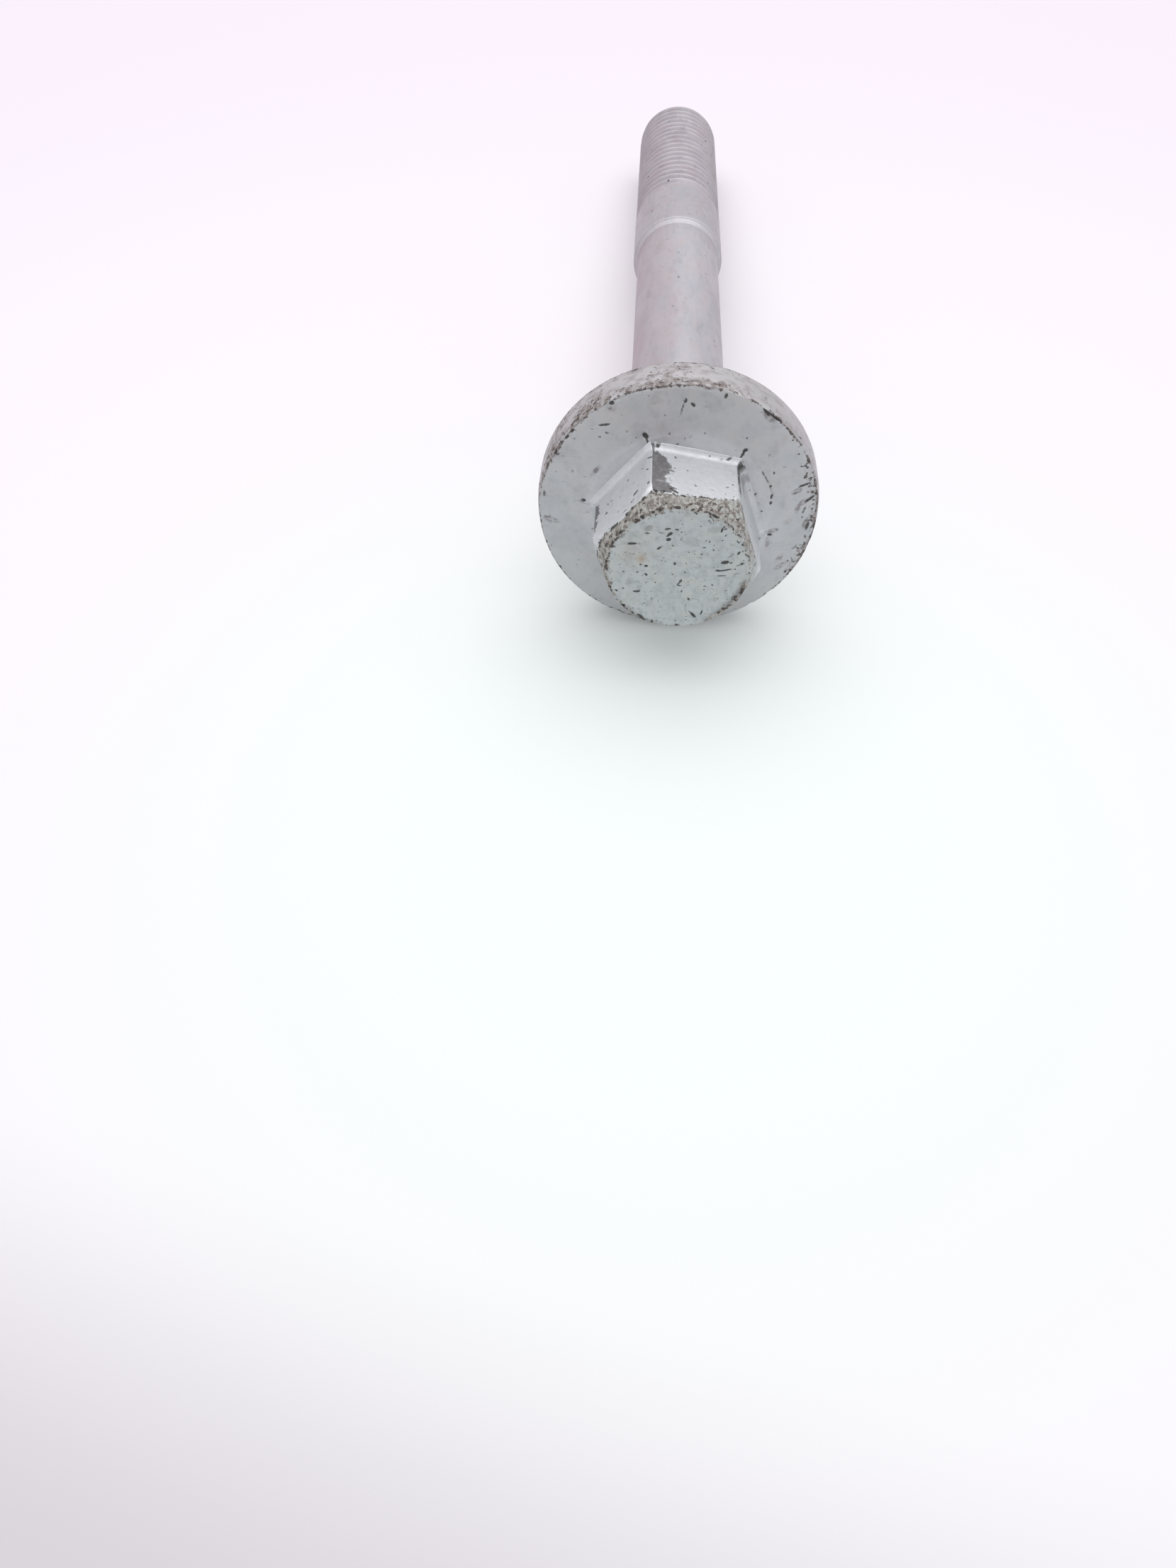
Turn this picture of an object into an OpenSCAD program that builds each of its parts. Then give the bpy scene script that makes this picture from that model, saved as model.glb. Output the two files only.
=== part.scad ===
// Hexagon flange bolt with a reduced shank: one cold forging with a rolled right-hand thread.
// The bolt's axis is the Y axis. The origin is the centre of the bearing face under the flange.
// The head lies toward -Y and the lead point toward +Y. All sizes are in millimetres.
// The forging has no separable pieces, so each node is one named region of it, as a closed solid
// that meets its neighbours face to face.

/* [Thread] */
// Nominal thread diameter
thread_d = 12; // [8:0.5:16]
// Distance along the axis from one crest to the next
pitch = 1.75; // [1:0.05:2.5]
// Length over which the grooves grow from nothing to full depth behind the guide band
runout_len = 3.5; // [1:0.1:6]
// Flat sides that each turn of the thread is drawn with
thread_steps = 36; // [24:4:48]

/* [Length under the head] */
// From the bearing face to the end of the point
under_head_len = 103; // [85:1:150]
// From the bearing face to the step up to the guide band
guide_start = 55.5; // [20:0.5:80]
// Length of the plain guide band, its entry taper included
guide_len = 11.3; // [3:0.1:16]
// Length of the plain lead point, past the thread's last turn
point_len = 2; // [1:0.1:5]

/* [Flange] */
// Outer diameter of the flange
flange_d = 28.8; // [22:0.1:40]
// Thickness of the flange at its middle, where the hexagon stands
flange_t = 4.95; // [4.4:0.05:8]
// Thickness of the flange at the front edge of its rim
rim_t = 4.13; // [3:0.01:4.9]
// Part of the rim that is straight, measured from the bearing face
rim_straight = 2.1; // [1:0.1:2.8]
// How far the rim draws in from its full radius to its front edge
rim_draw = 0.27; // [0.1:0.01:0.8]
// Edge break between the bearing face and the rim
rim_edge = 0.3; // [0.1:0.05:0.8]
// Radius of the fillet between the bearing face and the shank
neck_fillet = 0.8; // [0.4:0.1:1.5]

/* [Hexagon] */
// Size across the flats of the hexagon
hex_af = 14.75; // [12:0.05:18]
// Height of the hexagon from the flange to the middle of its top face
hex_h = 8.65; // [6:0.05:12]
// Height of the crown, from where its cone cuts the six corners to the top face
crown_h = 2.6; // [1.6:0.1:3.5]
// Height of the bevel along the middle of each flat, within the crown
flat_bevel_h = 1.4; // [0.5:0.1:1.5]
// How far that bevel draws each flat in
flat_bevel_draw = 0.27; // [0.1:0.01:0.8]
// Width of the bevel that stands in for the fillet at the foot of the hexagon
foot_fillet = 0.45; // [0.2:0.05:1]
// Turn of the hexagon about the axis, clockwise as seen from the head
hex_roll = 10; // [0:1:59]

/* [Hidden] */
$fn = 96;

head_zinc = [0.66, 0.69, 0.69];
flange_zinc = [0.62, 0.63, 0.64];
shank_zinc = [0.60, 0.57, 0.59];
thread_zinc = [0.52, 0.49, 0.51];

// Play between the nominal thread and the crests of a plated bolt, on the radius
crest_play = 0.03;
crest_r = thread_d / 2 - crest_play;
// A rolled thread is this deep for each unit of pitch, and its crest is an eighth of a pitch wide
thread_depth = 0.6134 * pitch;
crest_share = 1 / 8;
flank_share = thread_depth * tan(30) / pitch;
// Thread rolling lifts the metal as far as it sinks it, so the blank is the pitch diameter
shank_r = (thread_d - 0.6495 * pitch) / 2;
guide_r = thread_d / 2;
guide_taper = guide_r - shank_r;
// The point is a little under the root, so that it enters a tapped hole by itself
point_r = crest_r - thread_depth - 0.05;
point_edge = 0.6;
guide_end = guide_start + guide_len;
thread_end = under_head_len - point_len;
thread_len = thread_end - guide_end;

flange_r = flange_d / 2;
rim_face_r = flange_r - rim_draw;
hex_r = hex_af / 2 / cos(30);
seat_r = hex_r + foot_fillet + 0.3;
// Half the width across the flats at the top, and the round face just inside it
top_flat_r = hex_af / 2 - flat_bevel_draw;
face_r = top_flat_r - 0.1;

// Places a region at a distance along the bolt's axis, with its own Z turned onto +Y
module on_axis(y = 0) {
    rotate([-90, 0, 0]) translate([0, 0, y]) children();
}

// Points of a circular arc, from one angle to another
function arc(centre, radius, from, to, steps = 12) =
    [for (i = [0:steps]) let (a = from + (to - from) * i / steps)
        centre + radius * [cos(a), sin(a)]];

// Radius of the arc that leaves the straight rim without a corner and draws in at its front edge
function rim_arc_r() =
    let (rise = rim_t - rim_straight) (rim_draw * rim_draw + rise * rise) / (2 * rim_draw);

module hex_prism(radius, height) {
    rotate([0, 0, hex_roll]) cylinder(r = radius, h = height, $fn = 6);
}

module hex_taper(bottom, top, height) {
    rotate([0, 0, hex_roll]) cylinder(r1 = bottom, r2 = top, h = height, $fn = 6);
}

// Hexagon with a bevelled foot, and flats bevelled in along their tops. A cone as tall as the
// hexagon cuts its corners over the crown and leaves the round top face.
module hex_head() {
    cone_foot_r = face_r + (hex_r - face_r) * hex_h / crown_h;
    color(head_zinc) on_axis(-flange_t) mirror([0, 0, 1]) intersection() {
        union() {
            hex_taper(hex_r + foot_fillet, hex_r, foot_fillet);
            hex_prism(hex_r, hex_h - flat_bevel_h);
            translate([0, 0, hex_h - flat_bevel_h])
                hex_taper(hex_r, top_flat_r / cos(30), flat_bevel_h);
        }
        cylinder(r1 = cone_foot_r, r2 = face_r, h = hex_h);
    }
}

// Flange with a barrelled rim and a coned front, carrying the fillet that runs into the shank
module flange() {
    ra = rim_arc_r();
    rim = arc([flange_r - ra, -rim_straight], ra, 0, -asin((rim_t - rim_straight) / ra));
    neck = arc([shank_r + neck_fillet, neck_fillet], neck_fillet, 270, 180);
    color(flange_zinc) on_axis() rotate_extrude() polygon(concat(
        [[0, -flange_t], [seat_r, -flange_t]],
        [for (i = [len(rim) - 1:-1:0]) rim[i]],
        [[flange_r, -rim_edge], [flange_r - rim_edge, 0]],
        neck,
        [[0, neck_fillet]]
    ));
}

// Reduced shank, as thick as the blank that the thread is rolled on
module shank() {
    color(shank_zinc) on_axis(neck_fillet)
        cylinder(r = shank_r, h = guide_start - neck_fillet);
}

// Plain band at full diameter that centres the bolt in its hole
module guide_band() {
    color(shank_zinc) on_axis(guide_start) {
        cylinder(r1 = shank_r, r2 = guide_r, h = guide_taper);
        translate([0, 0, guide_taper]) cylinder(r = guide_r, h = guide_len - guide_taper);
    }
}

// The thread's skin is a grid. A column stands at each angular step, and a pitch has four rows:
// both edges of the crest and both edges of the root. Each column starts a step further along the
// axis, so the rows climb as right-handed helices, and one turn on, they meet the next pitch's.
row_place = [0, crest_share, crest_share + flank_share, 1 - flank_share];
row_depth = [0, 0, 1, 1];
pitch_rows = len(row_place);
all_rows = pitch_rows * (ceil(thread_len / pitch) + 3);

function row_z(i, j) =
    pitch * (floor(j / pitch_rows) - 1 + row_place[j % pitch_rows] + i / thread_steps);
function first_row(i) = max([for (j = [0:all_rows - 1]) if (row_z(i, j) <= 0) j]);
function last_row(i) = min([for (j = [0:all_rows - 1]) if (row_z(i, j) >= thread_len) j]);

// The grooves deepen over the run-out, and the last turn is cut to a 45 degree cone
function groove(z) = thread_depth * min(1, z / runout_len);
function thread_r(z, j) =
    min(crest_r - row_depth[j % pitch_rows] * groove(z), point_r + thread_len - z);
function thread_point(i, j) =
    let (z = min(max(row_z(i, j), 0), thread_len), r = thread_r(z, j), a = 360 * i / thread_steps)
        [r * cos(a), r * sin(a), z];

module thread() {
    first = [for (i = [0:thread_steps - 1]) first_row(i)];
    last = [for (i = [0:thread_steps - 1]) last_row(i)];
    skin = [for (i = [0:thread_steps - 1]) for (j = [0:all_rows - 1]) thread_point(i, j)];
    // A row outside the thread's two ends counts as the end row of its column
    function at(i, j) =
        let (col = i % thread_steps, row = i == thread_steps ? j + pitch_rows : j)
            col * all_rows + min(max(row, first[col]), last[col]);
    sides = [for (i = [0:thread_steps - 1]) for (j = [0:all_rows - 2])
        for (t = [[at(i, j), at(i + 1, j + 1), at(i + 1, j)], [at(i, j), at(i, j + 1), at(i + 1, j + 1)]])
            if (t[0] != t[1] && t[1] != t[2] && t[2] != t[0]) t];
    ends = [
        [for (i = [0:thread_steps - 1]) at(i, 0)],
        [for (i = [thread_steps - 1:-1:0]) at(i, all_rows)]
    ];
    color(thread_zinc) on_axis(guide_end) polyhedron(skin, concat(sides, ends), convexity = 10);
}

// Plain point under the root diameter, with its end edge broken
module lead_point() {
    color(thread_zinc) on_axis(thread_end) {
        cylinder(r = point_r, h = point_len - point_edge);
        translate([0, 0, point_len - point_edge])
            cylinder(r1 = point_r, r2 = point_r - point_edge, h = point_edge);
    }
}

hex_head();
flange();
shank();
guide_band();
thread();
lead_point();
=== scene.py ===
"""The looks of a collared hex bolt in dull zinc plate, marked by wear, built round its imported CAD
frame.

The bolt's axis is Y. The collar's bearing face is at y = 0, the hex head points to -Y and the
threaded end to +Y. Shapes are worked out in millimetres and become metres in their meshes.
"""

import logging
import math
from dataclasses import dataclass, field
from enum import Enum
from functools import reduce
from itertools import product

import bmesh
import bpy
import numpy as np
from mathutils import Matrix, Vector


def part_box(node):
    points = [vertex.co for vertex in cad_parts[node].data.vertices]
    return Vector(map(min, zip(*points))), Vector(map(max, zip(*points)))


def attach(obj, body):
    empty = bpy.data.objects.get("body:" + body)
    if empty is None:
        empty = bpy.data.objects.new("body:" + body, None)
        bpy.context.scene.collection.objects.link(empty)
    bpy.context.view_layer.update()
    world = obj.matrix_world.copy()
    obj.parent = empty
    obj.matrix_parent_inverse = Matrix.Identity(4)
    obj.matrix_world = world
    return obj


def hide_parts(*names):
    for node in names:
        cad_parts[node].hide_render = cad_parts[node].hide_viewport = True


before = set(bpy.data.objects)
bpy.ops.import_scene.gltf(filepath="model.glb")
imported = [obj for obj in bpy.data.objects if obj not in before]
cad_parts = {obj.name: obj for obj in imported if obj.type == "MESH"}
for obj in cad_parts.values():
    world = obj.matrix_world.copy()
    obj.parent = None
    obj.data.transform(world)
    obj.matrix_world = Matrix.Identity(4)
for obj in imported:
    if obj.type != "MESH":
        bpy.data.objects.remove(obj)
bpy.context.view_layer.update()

LOG = logging.getLogger("hex_bolt")
MM = 0.001
TURN = 2.0 * math.pi
HASH_STEPS = np.array((73856093, 19349663, 83492791), dtype=np.int64)

Array = np.ndarray
Rgb = tuple[float, float, float]
Socket = bpy.types.NodeSocket


class Wear(Enum):
    """The kinds of wear, painted light and painted shade that a mesh carries to its material, each
    an attribute from 0 to 1.
    """

    DARK = "dark"
    GRIME = "grime"
    SPECKS = "specks"
    SHEEN_AND_POLISH = "sheen_and_polish"
    SCUFF_AND_SHADE = "scuff_and_shade"
    STAIN = "stain"


def srgb(red: int, green: int, blue: int) -> Rgb:
    """Turns a display colour into the linear colour that shaders take.

    A part c goes to c / 12.92 up to 0.04045, and to ((c + 0.055) / 1.055)^2.4 above it.

    Args:
        red: The red part, from 0 to 255.
        green: The green part, from 0 to 255.
        blue: The blue part, from 0 to 255.

    Returns:
        The linear colour, each part from 0 to 1.
    """
    parts = np.array((red, green, blue)) / 255.0
    low, high = parts / 12.92, ((parts + 0.055) / 1.055) ** 2.4
    return tuple(float(v) for v in np.where(parts <= 0.04045, low, high))


# ---------------------------------------------------------------- sizes read from the frame


def span_y(node: str) -> tuple[float, float]:
    """The lowest and highest y of a CAD node, in mm."""
    low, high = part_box(node)
    return low.y / MM, high.y / MM


def reach_x(node: str) -> float:
    """How far a CAD node reaches from the axis along X, in mm."""
    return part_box(node)[1].x / MM


# ---------------------------------------------------------------- fields on arrays of points


def ease(values: Array, low: float, high: float) -> Array:
    """Nought at low, one at high, and 3t^2 - 2t^3 between them, where t runs from low to high."""
    t = np.clip((values - low) / (high - low), 0.0, 1.0)
    return t * t * (3.0 - 2.0 * t)


def bell(values: Array, centre: float, width: float) -> Array:
    """A bell curve: one at its centre, and 1/e at a width to either side."""
    return np.exp(-(((values - centre) / width) ** 2))


def unit(values: Array) -> Array:
    """Values kept between 0 and 1."""
    return np.clip(values, 0.0, 1.0)


def largest(*fields: Array | float) -> Array:
    """The largest of several fields at each point."""
    return reduce(np.maximum, fields)


def lattice_noise(points: Array, cell: float, seed: int) -> Array:
    """Value noise from -1 to 1.

    Each corner of a cubic lattice gets a hashed value, and a point blends the eight corners of
    its cell by 3t^2 - 2t^3 along each axis.

    Args:
        points: Places, with x, y and z on the last axis.
        cell: The lattice's pitch, in the units of the points.
        seed: Picks one field out of many.

    Returns:
        One value for each point.
    """
    scaled = points / cell
    corner = np.floor(scaled).astype(np.int64)
    part = scaled - corner
    blend = part * part * (3.0 - 2.0 * part)
    total = np.zeros(points.shape[:-1])
    for step in product((0, 1), repeat=3):
        key = (corner + np.array(step)) @ HASH_STEPS + seed * 40503
        key = (key ^ (key >> 13)) * 1274126177
        key = key ^ (key >> 17)
        value = (key & 0xFFFF) / 32767.5 - 1.0
        total += value * np.prod(np.where(step, blend, 1.0 - blend), axis=-1)
    return total


def fractal(points: Array, cell: float, seed: int, octaves: int = 3) -> Array:
    """Lattice noise summed over octaves, each half as wide and as strong, scaled to about 1."""
    layers = [lattice_noise(points, cell / 2**i, seed + i) / 2**i for i in range(octaves)]
    return sum(layers) / (2.0 - 0.5 ** (octaves - 1))


@dataclass(frozen=True)
class Mark:
    """A small pressed or scraped mark on a flat, in mm.

    It lies at (u, v), is long by wide and turned anticlockwise by turn degrees. Depth is how far
    it is pressed in, and dark how much soot it holds, from 0 to 1.
    """

    u: float
    v: float
    length: float
    width: float
    turn: float = 0.0
    depth: float = 0.05
    dark: float = 0.9

    def cover(self, u: Array, v: Array, ragged: Array) -> Array:
        """How far each point lies in the mark: 1 inside its ellipse, easing to 0 past its rim.

        Args:
            u: First coordinate of each point.
            v: Second coordinate of each point.
            ragged: Noise that moves the rim, from -1 to 1.

        Returns:
            The cover of each point, from 0 to 1.
        """
        c, s = math.cos(math.radians(self.turn)), math.sin(math.radians(self.turn))
        along = ((u - self.u) * c + (v - self.v) * s) / (0.5 * self.length)
        across = ((v - self.v) * c - (u - self.u) * s) / (0.5 * self.width)
        return 1.0 - ease(np.hypot(along, across) + 0.3 * ragged, 0.75, 1.35)


Marks = tuple[Mark, ...]


def press(marks: Marks, u: Array, v: Array, ragged: Array) -> tuple[Array, Array]:
    """The depth and the soot of many marks: the strongest at each point.

    Args:
        marks: The marks.
        u: First coordinate of each point, in mm.
        v: Second coordinate of each point, in mm.
        ragged: Noise that moves each mark's rim.

    Returns:
        The depth in mm and the soot from 0 to 1, at each point.
    """
    depth, soot = np.zeros(u.shape), np.zeros(u.shape)
    for mark in marks:
        cover = mark.cover(u, v, ragged)
        depth = np.maximum(depth, mark.depth * cover)
        soot = np.maximum(soot, mark.dark * cover)
    return depth, soot


def scattered(count: int, half: tuple[float, float], seed: int, size: tuple[float, float]) -> Marks:
    """Small random pits spread over a rectangle round the origin.

    Args:
        count: How many pits.
        half: Half the rectangle's width and height, in mm.
        seed: Seeds the draw.
        size: The smallest and largest length of a pit, in mm.

    Returns:
        The pits.
    """
    draw = np.random.default_rng(seed)
    u, v = (reach * (2.0 * draw.random(count) - 1.0) for reach in half)
    length = size[0] + (size[1] - size[0]) * draw.random(count) ** 3
    share = 0.45 + 0.5 * draw.random(count)
    turn = 180.0 * draw.random(count)
    dark = 0.35 + 0.55 * draw.random(count)
    rows = zip(u, v, length, length * share, turn, dark)
    return tuple(Mark(u, v, a, b, t, 0.12 * a, d) for u, v, a, b, t, d in rows)


# ---------------------------------------------------------------- grids, profiles and meshes


def straight(start: tuple[float, float], end: tuple[float, float], step: float) -> Array:
    """Points of (radius, y) along a straight stretch, about a step apart, with both ends."""
    count = max(2, round(math.dist(start, end) / step) + 1)
    return np.linspace(start, end, count)


def round_turn(
    centre: tuple[float, float], radius: float, first: float, last: float, count: int
) -> Array:
    """Points of (radius, y) on an arc round a centre, between two angles in degrees."""
    angle = np.radians(np.linspace(first, last, count))
    return np.stack((centre[0] + radius * np.cos(angle), centre[1] + radius * np.sin(angle)), -1)


def chain(*parts: Array) -> Array:
    """Joins stretches of a profile end to end, without the points that would repeat.

    Args:
        *parts: The stretches, each of points of (radius, y), in order.

    Returns:
        The profile.
    """
    points = np.concatenate(parts)
    apart = np.hypot(*np.diff(points, axis=0).T) > 1e-6
    return points[np.concatenate(((True,), apart))]


def lathe(profile: Array, around: int) -> Array:
    """Carries a profile of (radius, y) round the axis: x = radius cos a and z = radius sin a.

    Args:
        profile: Points of radius and y, in order along the surface, in mm.
        around: How many points each ring gets.

    Returns:
        A grid of rings by points by x, y and z.
    """
    angle = np.arange(around) * TURN / around
    radius, y = profile[:, :1], profile[:, 1:]
    across = np.broadcast_to(y, (len(profile), around))
    return np.stack((radius * np.cos(angle), across, radius * np.sin(angle)), -1)


def carry(mesh: bpy.types.Mesh, kind: Wear, values: Array) -> None:
    """Stores one attribute, of wear or of painted light and shade, on a mesh's points."""
    layer = mesh.attributes.new(kind.value, "FLOAT", "POINT")
    layer.data.foreach_set("value", values.astype(np.float32))


@dataclass
class Skin:
    """A closed surface on a grid: rings round the axis, and a pole on the axis at each end."""

    rings: Array
    start_y: float
    end_y: float
    wear: dict[Wear, Array] = field(default_factory=dict)

    def _crossed(self) -> tuple[Array, float]:
        """The cross product of the grid's two tangents, and its side.

        Summed over the grid, the product's part away from the axis is twice the enclosed volume
        where it points outwards, so the sum's sign is 1 there, and -1 where it points inwards.

        Returns:
            The product at each point, and the sum's sign.
        """
        along = np.gradient(self.rings, axis=0)
        round_it = np.roll(self.rings, -1, 1) - np.roll(self.rings, 1, 1)
        crossed = np.cross(round_it, along)
        return crossed, float(np.sign(np.sum(crossed * self.rings * (1.0, 0.0, 1.0))))

    def sink(self, depth: Array) -> None:
        """Moves each point inwards, square to the surface.

        Args:
            depth: How far each point moves, in mm.
        """
        crossed, side = self._crossed()
        normal = crossed / (np.linalg.norm(crossed, axis=-1, keepdims=True) + 1e-12)
        self.rings = self.rings - side * normal * depth[..., None]

    def to_mesh(self, name: str) -> bpy.types.Mesh:
        """Fills the grid with quads that face outwards, and closes each end with a fan to its pole.

        Args:
            name: The mesh's name.

        Returns:
            The mesh, in metres, with one attribute for each kind of wear and of painted light and
            shade.
        """
        count, around, _ = self.rings.shape
        poles = np.array(((0.0, self.start_y, 0.0), (0.0, self.end_y, 0.0)))
        points = np.concatenate((self.rings.reshape(-1, 3), poles)) * MM
        here = np.arange(count * around).reshape(count, around)
        over = np.roll(here, -1, 1)
        pole = np.full(around, count * around)
        quads = np.stack((here[:-1], here[1:], over[1:], over[:-1]), -1).reshape(-1, 4)
        fans = np.concatenate((
            np.stack((pole, here[0], over[0]), -1), np.stack((pole + 1, over[-1], here[-1]), -1)
        ))
        order = -1 if self._crossed()[1] > 0 else 1
        mesh = bpy.data.meshes.new(name)
        mesh.from_pydata(points, [], [*quads[:, ::order].tolist(), *fans[:, ::order].tolist()])
        for kind in Wear:
            wear_and_light = self.wear.get(kind, np.zeros((count, around)))
            carry(mesh, kind, np.concatenate((wear_and_light.ravel(), (wear_and_light[0].mean(), wear_and_light[-1].mean()))))
        return mesh


def finish_piece(
    mesh: bpy.types.Mesh, node: str, material: bpy.types.Material
) -> bpy.types.Object:
    """Shades a mesh smooth, dresses it, and puts it in the place of its CAD node.

    Args:
        mesh: The piece's mesh, in metres in the row frame.
        node: The CAD node that it stands for.
        material: The piece's material.

    Returns:
        The piece's object.
    """
    piece = bpy.data.objects.new(mesh.name, mesh)
    bpy.context.scene.collection.objects.link(piece)
    mesh.polygons.foreach_set("use_smooth", np.ones(len(mesh.polygons), dtype=bool))
    mesh.materials.append(material)
    mesh.update()
    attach(piece, "root")
    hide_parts(node)
    triangles = len(mesh.loops) - 2 * len(mesh.polygons)
    LOG.info("%s: %d vertices, %d triangles", piece.name, len(mesh.vertices), triangles)
    return piece


# ---------------------------------------------------------------- shader graphs


class Graph:
    """Adds nodes to a shader tree and links them, one call for each node."""

    def __init__(self, tree: bpy.types.NodeTree) -> None:
        """Starts on a tree, which may already hold nodes."""
        self.tree = tree

    def add(self, kind: str, inputs: dict[str | int, object], **settings: object) -> bpy.types.Node:
        """Makes a node.

        Args:
            kind: The node's type name.
            inputs: A value, or a socket to link, for each input, by name or index.
            **settings: The node's own properties.

        Returns:
            The node.
        """
        node = self.tree.nodes.new(kind)
        for key, value in settings.items():
            setattr(node, key, value)
        for key, value in inputs.items():
            if isinstance(value, Socket):
                self.tree.links.new(value, node.inputs[key])
            elif isinstance(value, tuple) and node.inputs[key].type == "RGBA":
                node.inputs[key].default_value = (*value, 1.0)
            else:
                node.inputs[key].default_value = value
        return node

    def math(
        self, operation: str, first: object, second: object = 0.0, third: object = 0.0
    ) -> Socket:
        """One step of arithmetic on numbers."""
        inputs = {0: first, 1: second, 2: third}
        return self.add("ShaderNodeMath", inputs, operation=operation).outputs[0]

    def clamp(self, value: Socket) -> Socket:
        """A number kept between 0 and 1."""
        return self.add("ShaderNodeClamp", {0: value}).outputs[0]

    def shift(self, vector: Socket, offset: tuple[float, float, float]) -> Socket:
        """A place moved by an offset, so that a second noise differs from the first."""
        return self.add("ShaderNodeVectorMath", {0: vector, 1: offset}).outputs[0]

    def mix(self, share: object, under: object, over: object) -> Socket:
        """A colour over another, by a share from 0 to 1."""
        inputs = {0: share, 6: under, 7: over}
        return self.add("ShaderNodeMix", inputs, data_type="RGBA").outputs[2]

    def fade(self, share: object, under: object, over: object) -> Socket:
        """A number that goes from one value to another, by a share from 0 to 1."""
        inputs = {0: share, 2: under, 3: over}
        return self.add("ShaderNodeMix", inputs, data_type="FLOAT").outputs[0]

    def step(self, value: Socket, low: object, high: object) -> Socket:
        """Eases a value from 0 at low to 1 at high.

        Args:
            value: The value.
            low: Where the result leaves 0. It may lie above high.
            high: Where the result reaches 1.

        Returns:
            The eased value.
        """
        inputs = {"Value": value, "From Min": low, "From Max": high}
        node = self.add("ShaderNodeMapRange", inputs, interpolation_type="SMOOTHSTEP")
        return node.outputs[0]

    def noise(
        self, vector: Socket, scale: object, detail: float = 3.0, rough: float = 0.55
    ) -> Socket:
        """Fractal noise, from 0 to 1."""
        inputs = {"Vector": vector, "Scale": scale, "Detail": detail, "Roughness": rough}
        return self.add("ShaderNodeTexNoise", inputs).outputs[0]

    def seen(self) -> Socket:
        """Tells the rays that show a thing from those that only light by it.

        Returns:
            One for camera, glossy and transmission rays, and nought for the rest.
        """
        rays = self.add("ShaderNodeLightPath", {}).outputs
        seen = self.math("MAXIMUM", rays["Is Camera Ray"], rays["Is Glossy Ray"])
        return self.math("MAXIMUM", seen, rays["Is Transmission Ray"])


def new_group(name: str, inputs: dict[str, object], outputs: tuple[str, ...]) -> tuple[Graph, dict]:
    """Starts a shader node group with named sockets.

    Args:
        name: The group's name.
        inputs: A default for each input: a number, a colour, or None for a vector.
        outputs: The outputs' names. One that ends in "colour" is a colour, and others numbers.

    Returns:
        The group's graph, and its input sockets by name.
    """
    tree = bpy.data.node_groups.new(name, "ShaderNodeTree")
    for key, value in inputs.items():
        kind = "NodeSocketFloat"
        if value is None:
            kind = "NodeSocketVector"
        elif isinstance(value, tuple):
            kind = "NodeSocketColor"
        socket = tree.interface.new_socket(key, in_out="INPUT", socket_type=kind)
        if value is not None:
            socket.default_value = (*value, 1.0) if isinstance(value, tuple) else value
    for key in outputs:
        kind = "NodeSocketColor" if key.endswith("colour") else "NodeSocketFloat"
        tree.interface.new_socket(key, in_out="OUTPUT", socket_type=kind)
    entry = tree.nodes.new("NodeGroupInput")
    return Graph(tree), {key: entry.outputs[key] for key in inputs}


def close_group(graph: Graph, results: dict[str, Socket]) -> bpy.types.NodeTree:
    """Links the results to the group's outputs and returns the group."""
    graph.add("NodeGroupOutput", results)
    return graph.tree


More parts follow.
